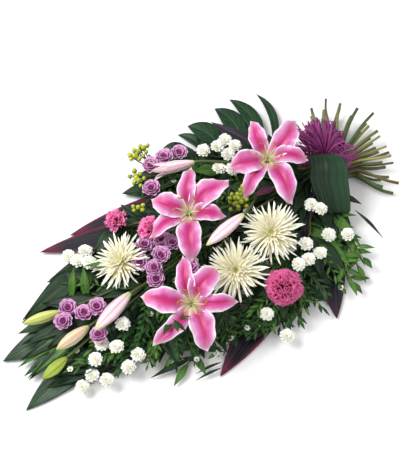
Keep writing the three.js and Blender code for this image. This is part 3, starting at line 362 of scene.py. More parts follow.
def spline(points, steps):
    """A smooth line through points, with so many steps between each two"""
    points = np.asarray(points, float)
    ends = np.vstack([2 * points[0] - points[1], points, 2 * points[-1] - points[-2]])
    t = np.linspace(0, 1, steps, endpoint=False)[:, None]
    pieces = []
    for before, a, b, after in zip(ends, ends[1:], ends[2:], ends[3:]):
        lead, trail = (b - before) / 2, (after - a) / 2
        curve = (2 * a - 2 * b + lead + trail) * t**3
        curve = curve + (3 * b - 3 * a - 2 * lead - trail) * t**2
        pieces.append(curve + lead * t + a)
    return np.vstack([*pieces, points[-1:]])


def headings(line):
    ahead = np.vstack([line[1:], line[-1:]]) - np.vstack([line[:1], line[:-1]])
    return ahead / np.linalg.norm(ahead, axis=1, keepdims=True)


class Route:
    """A line of straight steps, told by the share of its length"""

    def __init__(self, line):
        self.line = np.asarray(line)
        steps = np.linalg.norm(np.diff(self.line, axis=0), axis=1)
        self.marks = np.concatenate([[0], np.cumsum(steps)]) / steps.sum()

    def point(self, share):
        return np.array([np.interp(share, self.marks, self.line[:, k]) for k in range(3)])

    def heading(self, share):
        step = np.clip(np.searchsorted(self.marks, share) - 1, 0, len(self.line) - 2)
        return unit(self.line[step + 1] - self.line[step])

    def nearest(self, point):
        """The point of the line that lies nearest to another"""
        starts, runs = self.line[:-1], np.diff(self.line, axis=0)
        share = ((point - starts) * runs).sum(1) / (runs * runs).sum(1)
        feet = starts + runs * np.clip(share, 0, 1)[:, None]
        return feet[np.argmin(np.linalg.norm(feet - point, axis=1))]


def rings_along(line, radii, sides, seed_index=0, seed_side=None, ending=None):
    """Rings round a line, whose sides are carried along it without twisting"""
    directions = headings(line)
    if ending is not None:
        directions[-1] = ending
    side = np.zeros_like(line)
    start = np.array([0, 1, 0.01]) if seed_side is None else seed_side

    def upright(vector, i):
        return unit(vector - directions[i] * vector.dot(directions[i]))

    side[seed_index] = upright(start, seed_index)
    for i in range(seed_index + 1, len(line)):
        side[i] = upright(side[i - 1], i)
    for i in range(seed_index - 1, -1, -1):
        side[i] = upright(side[i + 1], i)
    other = np.cross(directions, side)
    turn = 2 * np.pi * np.arange(sides) / sides
    spread = side[:, None] * np.cos(turn)[:, None] + other[:, None] * np.sin(turn)[:, None]
    return line[:, None] + spread * np.asarray(radii, float).reshape(-1, 1, 1)


def lance(t, peak):
    """Half-width of a lance-shaped blade, 0 at both ends and 1 at the peak"""
    t = np.clip(t, 0, 1)
    return np.abs(np.sin(np.pi * t ** (math.log(0.5) / math.log(peak)))) ** 0.85


def blade(line, half, across, columns, dish):
    """Rows of points of a blade along a line, raised off it by its dish"""
    directions = headings(line)
    sides = np.array([across(heading) for heading in directions])
    normals = np.cross(directions, sides)
    normals /= np.linalg.norm(normals, axis=1, keepdims=True)
    shares = np.linspace(-1, 1, columns)
    rise = dish(even_shares(line)[:, None], shares[None, :])
    out = (half[:, None] * shares)[..., None] * sides[:, None]
    return line[:, None] + out + normals[:, None] * rise[..., None]


def level_across(direction):
    return unit(np.cross(UP, direction))


class Skin:
    """The faces of one piece, gathered grid by grid. Each grid has its own shade, a number
    from 0 to 1 that its material varies by, and its place in the piece's list of looks."""

    def __init__(self):
        self.points = []
        self.faces = []
        self.corners = []
        self.face_looks = []
        self.shades = []
        self.count = 0

    def add_points(self, points, shade):
        start = self.count
        self.points.append(points.reshape(-1, 3))
        self.count += len(self.points[-1])
        self.shades.append(np.full(self.count - start, shade))
        return start

    def grid(self, rows, shade=0.5, look=0, closed=False, capped=False):
        """Faces through rows of points; closed rows join round at their ends"""
        rows = np.asarray(rows)
        high, wide = rows.shape[:2]
        start = self.add_points(rows, shade)
        index = start + np.arange(high * wide).reshape(high, wide)
        if closed:
            index = np.hstack([index, index[:, :1]])
        u, v = np.meshgrid(np.linspace(0, 1, index.shape[1]), np.linspace(0, 1, high))
        uv = np.dstack([u, v])
        steps = (np.s_[:-1, :-1], np.s_[:-1, 1:], np.s_[1:, 1:], np.s_[1:, :-1])
        quads = np.stack([index[step] for step in steps], -1).reshape(-1, 4)
        self.faces.extend(quads.tolist())
        self.corners.append(np.stack([uv[step] for step in steps], 2).reshape(-1, 2))
        self.face_looks.extend([look] * len(quads))
        if capped:
            self.cap(index[0, :wide][::-1], look)
            self.cap(index[-1, :wide], look)

    def cap(self, ring, look):
        self.faces.append([int(i) for i in ring])
        self.corners.append(np.full((len(ring), 2), 0.5))
        self.face_looks.append(look)

    def tube(self, line, radii, sides=6, shade=0.5, look=0, ends=None, **seeding):
        """A tube with flat ends, which may have a look of their own"""
        line = np.asarray(line, float)
        radii = np.broadcast_to(radii, len(line))
        rings = rings_along(line, radii, sides, **seeding)
        start = self.count
        self.grid(rings, shade, look, closed=True)
        last = start + (len(line) - 1) * sides
        for first, step in ((start, -1), (last, 1)):
            ring = np.arange(first, first + sides)[::step]
            self.cap(ring, look if ends is None else ends)

    def piece(self, name, looks, thickness):
        """The piece itself, in metres, with its thin sheets thickened evenly"""
        mesh = bpy.data.meshes.new(name)
        mesh.from_pydata((np.vstack(self.points) * MM).tolist(), [], self.faces)
        mesh.uv_layers.new(name="UVMap").data.foreach_set("uv", np.vstack(self.corners).ravel())
        shade = mesh.attributes.new("shade", "FLOAT", "POINT")
        shade.data.foreach_set("value", np.concatenate(self.shades))
        for look in looks:
            mesh.materials.append(look)
        mesh.polygons.foreach_set("material_index", self.face_looks)
        mesh.polygons.foreach_set("use_smooth", [True] * len(self.faces))
        mesh.update()
        piece = bpy.data.objects.new(name, mesh)
        bpy.context.scene.collection.objects.link(piece)
        if thickness:
            shell = piece.modifiers.new("thickness", "SOLIDIFY")
            shell.thickness = thickness * MM
            shell.offset = 0
        return piece

    def settle(self, name, looks, slot, thickness=0.0, *nodes):
        """The piece moves with the sheaf and stands for CAD nodes"""
        piece = self.piece(name, looks, thickness)
        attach(piece, "root")
        if nodes:
            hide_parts(*nodes)


# The looks of a piece with a stem: the stem's, its cut end's, and that of what it carries
CUT = 1
CARRIED = 2


# How each bend of the frame's build is found again: from the corners of its own node
def alternating(step, count):
    return [(1 if i % 2 else -1) * math.ceil(i / 2) * step for i in range(count)]


BENDS = sorted(
    [(lift, shift) for lift in alternating(3, 13) for shift in alternating(4, 9)],
    key=lambda bend: math.hypot(*bend),
)
STRAIGHT = (0, 0)
NEAR_ENOUGH = 0.6


class Corners:
    """The corners of a CAD node, in millimetres"""

    def __init__(self, node):
        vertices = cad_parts[node].data.vertices
        self.tree = KDTree(len(vertices))
        for i, vertex in enumerate(vertices):
            self.tree.insert(vertex.co / MM, i)
        self.tree.balance()

    def hits(self, points):
        return sum(self.tree.find(point)[2] < NEAR_ENOUGH for point in np.reshape(points, (-1, 3)))

    def best(self, choices, points_of):
        """The choice whose points lie most often on corners, the first of equals"""
        return max(choices, key=lambda choice: self.hits(points_of(choice)))

    def bend(self, line_of, end_radius, ending=None):
        """The bend of the node's own stem"""
        return self.best(BENDS, lambda one: stem_corners(line_of(one), end_radius, ending))

    def first(self, choices, points_of):
        """The first choice whose points all lie on corners, or none"""
        for choice in choices:
            points = np.reshape(points_of(choice), (-1, 3))
            if self.hits(points) == len(points):
                return choice
        return None


def slot_place(slot, x):
    row, column = slot
    y = ((COLUMNS - 1) / 2 - column) * COLUMN_PITCH
    return np.array([x, y, BUNDLE_FLOOR + STEM_RADIUS + row * ROW_PITCH])


def stem_line(
    slot, end, arrival, bend=STRAIGHT, back=50, sag=0, steps=FRAME_STEPS, tail_steps=FRAME_TAIL_STEPS
):
    """A stem from its cut end through the tie to where it ends"""
    row, column = slot
    lift, shift = bend
    draw = seeded(955 * row + 1595 * column)
    half = RAFFIA_LENGTH / 2
    entry, exit_ = slot_place(slot, half), slot_place(slot, -half)
    share = column / (COLUMNS - 1)
    outward = level_way(math.radians(lerp(*TAIL_TURNS, share)))
    length = np.interp(share, even_shares(TAIL_LENGTHS), TAIL_LENGTHS)
    length *= draw(*TAIL_SHARES)
    cut = entry + outward * length
    cut[0] -= half
    cut[2] = TAIL_FLOOR + row * TAIL_RISE + TAIL_WANDER * draw()
    lead = cut - TAIL_HANDLE * length * outward
    tail = bezier(cut, lead, entry + TIE_HANDLE * EAST, entry, tail_steps)
    reach = np.linalg.norm(end - exit_)
    leaving = np.array([-LEAVING_HANDLE * reach, shift, row * LEAVING_ROW_LIFT + lift])
    last = end - arrival * min(back, ARRIVING_SHARE * reach)
    last[1] += shift
    last[2] = max(last[2] + lift - sag, STEM_RADIUS)
    return np.vstack([tail, bezier(exit_, exit_ + leaving, last, end, steps)])


def stem_corners(line, end_radius, ending=None):
    """The corners of the frame's own stem between the tie and the end"""
    last = len(line) - 1
    tie = FRAME_TAIL_STEPS + 1
    share = np.clip((np.arange(last + 1) - tie) / (last - tie), 0, 1)
    radii = lerp(STEM_RADIUS, end_radius, share)
    return rings_along(line, radii, FRAME_SIDES, tie - 1, ending=ending)[tie + 1 : last]


def fine_stem(skin, slot, end, arrival, end_radius, head=(), **way):
    """A stem in many small steps; a head is told as how far back it stands and its radius"""
    shade = (0.37 * slot[0] + 0.618 * slot[1]) % 1
    line = stem_line(slot, end, arrival, steps=FINE_STEPS, tail_steps=FINE_TAIL_STEPS, **way)
    share = np.clip((np.arange(len(line)) - FINE_TAIL_STEPS - 1) / FINE_STEPS, 0, 1)
    radii = lerp(STEM_RADIUS, end_radius, share**0.8)
    slim = lerp(SLIMMEST_TAIL, 1, (0.29 * slot[0] + 0.41 * slot[1]) % 1)
    tail = np.arange(FINE_TAIL_STEPS + 1)
    marks = [0, FINE_TAIL_STEPS - 2, FINE_TAIL_STEPS]
    radii[: FINE_TAIL_STEPS + 1] *= np.interp(tail, marks, [slim, slim, 1])
    if len(head):
        keep = np.linalg.norm(line - end, axis=1) > head[0][0] + 2
        keep[: FINE_TAIL_STEPS + 2] = True
        rings = [end - arrival * back for back, _ in head]
        line = np.vstack([line[keep], rings])
        radii = np.concatenate([radii[keep], [radius for _, radius in head]])
    skin.tube(line, radii, 10, shade, ends=CUT, seed_index=FINE_TAIL_STEPS, ending=arrival)
    return Route(line[FINE_TAIL_STEPS + 1 :])


# Colours and materials
def hue(code):
    """A colour written as on the web, in linear light"""
    shares = [int(code[i : i + 2], 16) / 255 for i in (1, 3, 5)]
    linear = [c / 12.92 if c <= 0.04045 else ((c + 0.055) / 1.055) ** 2.4 for c in shares]
    return (*linear, 1.0)


class Nodes:
    """A material's or a shared effect's node tree, built by short calls"""

    def __init__(self, tree):
        self.tree = tree

    def fill(self, node, inputs):
        """Give a node its inputs: numbers, colours, or the outputs of other nodes"""
        for key, value in inputs.items():
            if isinstance(value, bpy.types.NodeSocket):
                self.tree.links.new(value, node.inputs[key])
            else:
                node.inputs[key].default_value = hue(value) if isinstance(value, str) else value

    def add(self, kind, inputs, **settings):
        node = self.tree.nodes.new(kind)
        for key, value in settings.items():
            setattr(node, key, value)
        self.fill(node, inputs)
        return node

    def math(self, operation, *values):
        inputs = dict(enumerate(values))
        return self.add("ShaderNodeMath", inputs, operation=operation).outputs[0]

    def times(self, first, second):
        return self.math("MULTIPLY", first, second)

    def scaled(self, value, factor, added):
        return self.math("MULTIPLY_ADD", value, factor, added)

    def between(self, value, low, high, start=0.0, end=1.0):
        inputs = {"Value": value, "From Min": low, "From Max": high, "To Min": start, "To Max": end}
        node = self.add("ShaderNodeMapRange", inputs, interpolation_type="SMOOTHSTEP")
        return node.outputs[0]

    def mix(self, share, first, second):
        inputs = {0: share, 6: first, 7: second}
        return self.add("ShaderNodeMix", inputs, data_type="RGBA").outputs[2]

    def tint(self, body, color, mask, strength):
        """The body's colour turned to another where the mask is"""
        return self.mix(self.times(mask, strength), body, color)

    def ramp(self, value, stops):
        node = self.add("ShaderNodeValToRGB", {"Fac": value})
        bar = node.color_ramp.elements
        while len(bar) < len(stops):
            bar.new(0.5)
        for element, (position, color) in zip(bar, stops):
            element.position = position
            element.color = hue(color)
        return node.outputs[0]

    def group(self, effect, **inputs):
        return self.add("ShaderNodeGroup", inputs, node_tree=effect).outputs[0]


class BladeNodes(Nodes):
    """A material's nodes, with a point's place across and along its grid, and its shade"""

    def __init__(self, tree):
        super().__init__(tree)
        uv = self.add("ShaderNodeUVMap", {}, uv_map="UVMap").outputs[0]
        self.across, self.along, _ = self.add("ShaderNodeSeparateXYZ", {"Vector": uv}).outputs
        self.shade = self.add("ShaderNodeAttribute", {}, attribute_name="shade").outputs["Fac"]

    def on_blade(self, effect, **inputs):
        return self.group(effect, **{"Across": self.across, "Along": self.along, **inputs})

    def streaks(self, count, **inputs):
        return self.on_blade(STREAKS, Count=count, Offset=self.shade, **inputs)


def effect(name, inputs, build):
    """A shared effect: a node group with named numbers in and one number out"""
    tree = bpy.data.node_groups.new(name, "ShaderNodeTree")
    for label, value in inputs.items():
        socket = tree.interface.new_socket(label, in_out="INPUT", socket_type="NodeSocketFloat")
        socket.default_value = value
    tree.interface.new_socket("Mask", in_out="OUTPUT", socket_type="NodeSocketFloat")
    given = tree.nodes.new("NodeGroupInput")
    result = tree.nodes.new("NodeGroupOutput")
    mask = build(Nodes(tree), given.outputs)
    tree.links.new(mask, result.inputs["Mask"])
    return tree


def build_edge_band(n, given):
    """1 at the side edges and the tip of a blade, 0 inside"""
    aside = n.math("ABSOLUTE", n.scaled(given["Across"], 2.0, -1.0))
    outer = n.math("MAXIMUM", aside, n.scaled(given["Along"], 1.6, -0.62))
    inner = n.math("SUBTRACT", 1.0, given["Width"])
    return n.between(outer, inner, n.math("ADD", inner, n.times(given["Width"], 0.8)))


def build_veins(n, given):
    """The midrib of a blade and the veins that slant off it"""
    aside = n.math("ABSOLUTE", n.math("SUBTRACT", given["Across"], 0.5))
    midrib = n.between(aside, 0.012, 0.035, 1.0, 0.0)
    slanted = n.scaled(aside, n.times(given["Slant"], -1.0), given["Along"])
    wave = n.math("SINE", n.times(slanted, n.times(given["Pairs"], math.tau)))
    return n.math("MAXIMUM", midrib, n.times(n.between(wave, 0.8, 1.0), 0.45))


def build_streaks(n, given):
    """Fine lines that run along a blade"""
    across = n.times(given["Across"], given["Count"])
    point = n.add("ShaderNodeCombineXYZ", {"X": across, "Y": given["Along"], "Z": given["Offset"]})
    noise = n.add("ShaderNodeTexNoise", {"Vector": point.outputs[0], "Scale": 1.0, "Detail": 2.0})
    return n.between(noise.outputs["Fac"], 0.3, 0.7)


def build_speckles(n, given):
    """Small dots, scattered over a blade"""
    across = n.times(given["Across"], given["Count"])
    along = n.times(given["Along"], n.times(given["Count"], 2.6))
    point = n.add("ShaderNodeCombineXYZ", {"X": across, "Y": along, "Z": given["Offset"]})
    cells = n.add("ShaderNodeTexVoronoi", {"Vector": point.outputs[0], "Scale": 1.0})
    return n.between(cells.outputs["Distance"], 0.16, 0.26, 1.0, 0.0)


def build_mottle(n, given):
    """Soft patches that vary over the whole sheaf"""
    where = n.add("ShaderNodeTexCoord", {}).outputs["Object"]
    inputs = {"Vector": where, "Scale": given["Scale"], "Detail": 3.0}
    return n.between(n.add("ShaderNodeTexNoise", inputs).outputs["Fac"], 0.32, 0.68)


BLADE_INPUTS = {"Across": 0.5, "Along": 0.5}
EDGE_BAND = effect("edge band", {**BLADE_INPUTS, "Width": 0.2}, build_edge_band)
VEINS = effect("veins", {**BLADE_INPUTS, "Pairs": 8.0, "Slant": 0.5}, build_veins)
STREAKS = effect("streaks", {**BLADE_INPUTS, "Count": 12.0, "Offset": 0.0}, build_streaks)
SPECKLES = effect("speckles", {**BLADE_INPUTS, "Count": 9.0, "Offset": 0.0}, build_speckles)
MOTTLE = effect("mottle", {"Scale": 40.0}, build_mottle)


def material(name, paint, roughness, soft=0.0, coat=0.0, gloss=0.5):
    """A plant material: paint gives its colour, and a height for its bumps or none"""
    look = bpy.data.materials.new(name)
    look.use_nodes = True
    n = BladeNodes(look.node_tree)
    color, height = paint(n)
    inputs = {
        "Base Color": color,
        "Roughness": roughness,
        "Specular IOR Level": gloss,
        "Coat Weight": coat,
        "Subsurface Weight": soft,
        "Subsurface Scale": 0.004,
    }
    if height is not None:
        relief = {"Height": height, "Strength": 0.35, "Distance": 0.0006}
        inputs["Normal"] = n.add("ShaderNodeBump", relief).outputs[0]
    n.fill(look.node_tree.nodes["Principled BSDF"], inputs)
    return look


# Across half a lily petal, from its middle to its edge
LILY_COLORS = [(0.0, "#b41766"), (0.28, "#bd3380"), (0.6, "#ca70aa"), (0.94, "#e4c0dc")]


def paint_lily(n):
    aside = n.math("ABSOLUTE", n.scaled(n.across, 2.0, -1.0))
    lines = n.streaks(26.0)
    wander = n.scaled(n.group(MOTTLE, Scale=30.0), 0.24, -0.12)
    body = n.ramp(n.math("ADD", aside, wander), LILY_COLORS)
    stripe = n.times(n.between(aside, 0.03, 0.22, 1.0, 0.0), n.between(n.along, 0.98, 0.6))
    body = n.tint(body, "#b5185d", stripe, 0.8)
    body = n.tint(body, "#bb3e84", lines, 0.25)
    body = n.tint(body, "#f7e8f0", n.on_blade(EDGE_BAND, Width=0.17), 0.85)
    body = n.tint(body, "#f3cfe2", n.between(n.along, 0.7, 1.0), 0.35)
    body = n.tint(body, "#e4e3b4", n.between(n.along, 0.08, 0.36, 1.0, 0.0), 0.85)
    dots = n.on_blade(SPECKLES, Count=12.0, Offset=n.shade)
    spotted = n.times(n.between(n.along, 0.2, 0.3), n.between(n.along, 0.6, 0.46))
    spotted = n.times(spotted, n.between(aside, 0.8, 0.5))
    body = n.tint(body, "#96184c", dots, spotted)
    groove = n.between(aside, 0.0, 0.12)
    return body, n.math("ADD", n.times(lines, 0.5), groove)


def paint_bud(light, ridge, tip, seam):
    """A closed bud: three ridges, three seams between them, and tips of another colour"""

    def paint(n):
        ridges = n.math("SINE", n.scaled(n.across, 3 * math.tau, math.pi / 2))
        lines = n.streaks(60.0)
        body = n.mix(n.between(ridges, 0.55, 1.0), light, ridge)
        body = n.tint(body, ridge, lines, 0.25)
        seams = n.between(ridges, -0.86, -1.0)
        body = n.tint(body, seam, seams, 0.55)
        ends = n.math("MAXIMUM", n.between(n.along, 0.2, 0.02), n.between(n.along, 0.82, 0.99))
        return n.tint(body, tip, ends, 0.85), n.scaled(seams, -1.5, lines)

    return paint


def paint_petal(inner, outer, deep=None, rim=None):
    """A small petal that runs from its inner to its outer colour, and to its rim's"""

    def paint(n):
        lines = n.streaks(9.0)
        body = n.ramp(n.along, [(0.05, inner), (0.7, outer), (0.98, rim or outer)])
        body = n.tint(body, deep or inner, lines, 0.2)
        tone = n.math("ADD", n.scaled(n.shade, 0.16, -0.08), 1.0)
        return n.add("ShaderNodeHueSaturation", {"Value": tone, "Color": body}).outputs[0], lines

    return paint


def paint_leaf(dark, light, rib, slant=0.55):
    """A leaf: two greens in patches, its midrib and slanting veins"""

    def paint(n):
        veins = n.on_blade(VEINS, Pairs=7.0, Slant=slant)
        lines = n.streaks(20.0)
        patches = n.scaled(n.group(MOTTLE, Scale=38.0), 0.5, n.times(n.shade, 0.5))
        body = n.mix(patches, dark, light)
        body = n.tint(body, dark, lines, 0.25)
        body = n.tint(body, rib, veins, 0.55)
        return body, n.math("SUBTRACT", n.times(lines, 0.4), veins)

    return paint


def paint_strap(dark, light, glint, count, edge=None, painted_light_side=None):
    """A strap leaf without a midrib: fine lines run along it, some of them painted highlights"""

    def paint(n):
        lines = n.streaks(count, Along=n.times(n.along, 0.5))
        body = n.mix(lines, dark, light)
        # Painted highlights: the lightest streaks, in patches, turn toward the glint colour
        painted_glint_mask = n.times(n.between(lines, 0.82, 1.0), n.group(MOTTLE, Scale=24.0))
        body = n.tint(body, glint, painted_glint_mask, 0.55)
        # One side of the blade painted lighter, as painted light falling on it
        if painted_light_side:
            body = n.tint(body, painted_light_side, n.between(n.across, 0.3, 0.9), 0.6)
        if edge:
            body = n.tint(body, edge, n.on_blade(EDGE_BAND, Width=0.32), 0.85)
        return body, lines

    return paint


STEM_TONES = ["#4c5e28", "#858a48", "#2a431b", "#a09d58", "#3c5c24", "#6b4a2b", "#5f6d31"]


def paint_stem(n):
    """Each stem has its own green or brown, with fine lines along it"""
    own = n.ramp(n.shade, [(k / len(STEM_TONES), tone) for k, tone in enumerate(STEM_TONES)])
    lines = n.streaks(6.0)
    return n.tint(own, "#1e3213", lines, 0.55), lines


def paint_plain(light, dark, scale=60.0):
    """Two colours in soft patches"""

    def paint(n):
        tone = n.scaled(n.group(MOTTLE, Scale=scale), 0.5, n.times(n.shade, 0.5))
        return n.mix(tone, dark, light), None

    return paint


def paint_fibre(light, dark, count):
    """Fibres that differ in tone, each with fine lines along it"""

    def paint(n):
        lines = n.streaks(count)
        tone = n.scaled(lines, 0.55, n.times(n.shade, 0.45))
        return n.mix(tone, dark, light), lines

    return paint


LILY_PETAL = material("lily petal", paint_lily, 0.42, soft=0.12)
FILAMENT = material("lily filament", paint_plain("#ece9c6", "#d3d59c"), 0.45)
ANTHER = material("lily anther", paint_plain("#b98243", "#8a5426", 300.0), 0.85)
STIGMA = material("lily stigma", paint_plain("#a9b86a", "#7b8a45"), 0.4)
BUD_PINK = material("pink bud", paint_bud("#f1dade", "#dba6bb", "#c0cb83", "#c99aa4"), 0.45, soft=0.1)
BUD_CREAM = material("cream bud", paint_bud("#e6d4b4", "#cfa98c", "#b0bc68", "#a89a5c"), 0.45, soft=0.1)
BUD_LIME = material("lime bud", paint_bud("#d0d081", "#a9b350", "#b2bf58", "#7f9038"), 0.45, soft=0.1)
BUD_GREEN = material("green bud", paint_bud("#a9bb44", "#86a02f", "#8ca833", "#5d7d20"), 0.45, soft=0.1)
MUM_QUILL = material("chrysanthemum petal", paint_petal("#e8e09c", "#fdf9ec", "#ece1c2"), 0.5, soft=0.1)
MUM_HEART = material("chrysanthemum heart", paint_petal("#a9b534", "#e9e79c"), 0.55, soft=0.1)
DEEP_CARNATION = material(
    "deep carnation petal",
    paint_petal("#8c0d46", "#c41a64", "#a41252", rim="#dd6a9f"),
    0.6,
    soft=0.12,
)
LIGHT_CARNATION = material(
    "light carnation petal",
    paint_petal("#ad1a60", "#dc3d86", "#c02a72", rim="#f08cc0"),
    0.6,
    soft=0.12,
)
MAUVE = material("mauve petal", paint_petal("#6f1552", "#b65aa2", "#933a80", rim="#e2b8da"), 0.55, soft=0.1)
MAUVE_HEART = material("mauve heart", paint_plain("#85285f", "#551038", 500.0), 0.7)
WHITE = material("white petal", paint_petal("#e9e6bd", "#fbfaf3", "#dfddca"), 0.55, soft=0.1)
WHITE_HEART = material("white flower heart", paint_plain("#e2dc93", "#c6c973", 500.0), 0.7)
BERRY = material("berry", paint_plain("#c6cb3f", "#8c9c28", 160.0), 0.28, coat=0.25)
STEM = material("stem", paint_stem, 0.5)
CUT_END = material("cut stem end", paint_plain("#e4e0b4", "#bdbb80", 300.0), 0.8)
TWIG = material("twig", paint_plain("#4c6a2e", "#2c4a20"), 0.6, gloss=0.3)
LEAF = material("dark leaf", paint_leaf("#0b1f10", "#214a24", "#4f7a42", slant=0.7), 0.38, gloss=0.42)
# Bed leaves are darker than the other leaves: partly their own green, partly painted shade between the
# flowers
BED_LEAF_AND_SHADE = material("bed leaf and painted shade", paint_leaf("#061309", "#173819", "#345a2a", slant=0.7), 0.46, gloss=0.28)
CUT_LEAF_LOOK = material("cut leaf", paint_leaf("#0a2212", "#1a4420", "#366638"), 0.42, gloss=0.3)
LEAFLET = material("leaflet", paint_leaf("#1a380f", "#4f7f29", "#7fa450", slant=0.3), 0.45, gloss=0.3)
SPRIG_LEAF = material("sprig leaf", paint_leaf("#0c2410", "#2a5a20", "#4c7a34", slant=0.3), 0.5, gloss=0.25)
# The loop leaf: dark green, with painted highlight streaks and one side painted lighter
LOOP = material(
    "loop leaf",
    paint_strap("#091b0d", "#102b17", "#3c6238", 60.0, painted_light_side="#1f4226"),
    0.4,
    gloss=0.3,
)
# Cordyline leaves: fine lines, painted highlight streaks and a tinted edge
CORDYLINE = material(
    "cordyline leaf",
    paint_strap("#110e16", "#26212e", "#4a3c50", 30.0, "#722042"),
    0.45,
    gloss=0.3,
)
DARK_CORDYLINE = material(
    "dark cordyline leaf",
    paint_strap("#110e16", "#292430", "#4a3c50", 30.0, "#40203a"),
    0.45,
    gloss=0.3,
)
PLUM_LEAF = material("plum leaf", paint_leaf("#38182c", "#6c3855", "#8c5874"), 0.45, gloss=0.3)
RAFFIA = material("raffia", paint_fibre("#c34ba2", "#500a42", 8.0), 0.5)
TWINE = material("twine", paint_fibre("#c9b184", "#8d7548", 5.0), 0.85)


# Lilies. A petal is told by its half-width, where along it that lies, and how its edge waves
BROAD_PETAL = (23, 0.54, 3.8)
NARROW_PETAL = (17, 0.5, 2.6)
STAMENS = 6


def lily_petal(skin, bloom, turn, length, broad, draw, shade):
    lower = 0 if broad else -1.6
    curl, phase = draw(-16, -4), draw(0, math.tau)
    twist, sway = draw(-28, 28), draw(-7, 7)
    line = bloom.curve(
        34,
        (turn, 2.6, -LILY_THROAT + lower),
        (turn, 0.16 * length, 10 + lower),
        (turn, 0.62 * length, 24 + lower),
        (turn, length, curl + lower),
    )
    t = even_shares(line)
    level = np.cross(bloom.axis, bloom.outward(turn))
    line = line + (sway * np.sin(np.pi * t) ** 2)[:, None] * level
    sides = iter([turned(level, bloom.axis, 0.5 * sway * share) for share in t])
    widest, peak, ruffle = BROAD_PETAL if broad else NARROW_PETAL

    def shape(share):
        return lance(share, peak) ** np.where(share < peak, 1.2, 0.76)

    def dish(along, aside):
        groove = -2.6 * np.exp(-((aside / 0.18) ** 2))
        cup = 0.24 * widest * (1 - along) * aside**2
        lean = widest * math.radians(twist) * smooth(along, 0.35, 1.0) * aside
        wave = ruffle * np.sin(14 * along + phase + 0.8 * np.sign(aside)) * aside**2
        frill = 1.7 * smooth(along, 0.25, 0.5) * np.sin(41 * along + 3 * phase + 2 * aside)
        back = -6.0 * smooth(along, 0.78, 1.0) * (0.3 + aside**2)
        return (groove + cup + lean + wave + frill * np.abs(aside) ** 3) * shape(along) + back

    half = np.maximum(widest * shape(t), np.where(t < 0.2, 1.6, 0.4))
    half *= 1 + 0.06 * np.sin(21 * t + 2 * phase) * smooth(t, 0.3, 0.6)
    rows = blade(line, half, lambda _: next(sides), 17, dish)
    skin.grid(rows, shade)


def lily(index, name):
    entry = LILIES[name]
    bloom = Bloom(place(entry["at"]), facing(entry["face"]))
    draw = seeded(31 + index)
    skin = Skin()
    for number, (turn, length) in enumerate(entry["petals"]):
        shade = (0.37 * number + 0.2 * index) % 1
        lily_petal(skin, bloom, turn, length, number % 2 == 1, draw, shade)
    plug = [bloom.on_axis(-LILY_THROAT + h) for h in (-LILY_PLUG, -3, 1)]
    skin.tube(plug, [3, 4.4, 4.2], 12, look=1)
    node = f"{name}_petals"
    skin.settle(node, [LILY_PETAL, TWIG], "lily_petal", 0.7, node)
    lily_stamens(name, bloom)


def ellipsoid(skin, middle, along, length, radius, sides, steps, shade, look):
    """A rounded body that lies along a direction"""
    share = np.linspace(-1, 1, steps + 1)
    line = middle + along * (share * length / 2)[:, None]
    radii = radius * np.sqrt(np.maximum(1 - share**2, 0.04))
    skin.tube(line, radii, sides, shade, look)


def lily_stamens(name, bloom):
    skin = Skin()
    foot = -LILY_THROAT + 1 + GAP
    style = bloom.curve(14, (0, 0, foot), (0, 0, -6), (-100, 4, 10), (-100, 10, 30))
    skin.tube(style, np.linspace(1.9, 1.2, len(style)), 8, look=2)
    top = style[-1]
    for lobe in range(3):
        aside = bloom.outward(120 * lobe)
        ellipsoid(skin, top + 1.3 * aside, unit(aside + 0.3 * bloom.axis), 4, 1.7, 8, 6, 0.5, 2)
    for k in range(STAMENS):
        turn = 360 / STAMENS * k + 12
        spots = [(turn, 1.3, foot + 3), (turn, 5, 2), (turn + 4, 22, 21)]
        filament = spline([bloom.point(*spot) for spot in spots], 7)
        skin.tube(filament, np.linspace(1.1, 0.6, len(filament)), 6, 0.2 + 0.1 * k)
        start, end = filament[-1], bloom.point(turn + 22, 28, 26)
        run = unit(end - start)
        ellipsoid(skin, lerp(start, end, 0.45), run, 12, 1.6, 8, 8, 0.5, 1)
    node = f"{name}_stamens"
    skin.settle(node, [FILAMENT, ANTHER, STIGMA], "lily_stamen", 0, node)


# Lily buds: three ribs, and between them the grooves where the petals meet
BUD_LOOKS = {
    "bud_cream": (BUD_CREAM, "bud_green"),
    "bud_lime": (BUD_LIME, "bud_green"),
    "bud_green": (BUD_GREEN, "bud_green"),
}
BUD_PROFILE = [[0, 0.28], [0.12, 0.6], [0.32, 0.9], [0.55, 1], [0.78, 0.74], [0.93, 0.36], [1, 0.1]]
OPEN_PROFILE = [[0, 0.3], [0.16, 0.62], [0.42, 0.95], [0.62, 0.96], [0.72, 0.8], [0.74, 0.1]]


def bud(name, look, slot):
    entry = BUDS[name]
    start = place(entry["base"])
    run = place(entry["tip"]) - start
    length = np.linalg.norm(run)
    bloom = Bloom(start, run / length)
    opening = name == "bud_open"
    profile = OPEN_PROFILE if opening else BUD_PROFILE
    t = np.linspace(0, profile[-1][0], 30)
    wide = np.interp(t, *zip(*profile))
    for _ in range(2):
        wide[1:-1] = (wide[:-2] + 2 * wide[1:-1] + wide[2:]) / 4
    turn = np.arange(0, 360, 10)
    ribs = np.cos(np.radians(3 * turn))
    seams = np.exp(-(((np.mod(turn, 120) - 60) / 9) ** 2))
    radius = entry["radius"] * wide[:, None] * (0.93 + 0.07 * ribs - 0.11 * seams)
    skin = Skin()
    skin.grid(bloom.point(turn, radius, (t * length)[:, None]), 0.4, 0, closed=True, capped=True)
    if opening:
        open_tips(skin, bloom, entry["radius"], length)
    skin.settle(name, [look], slot, 0, name)


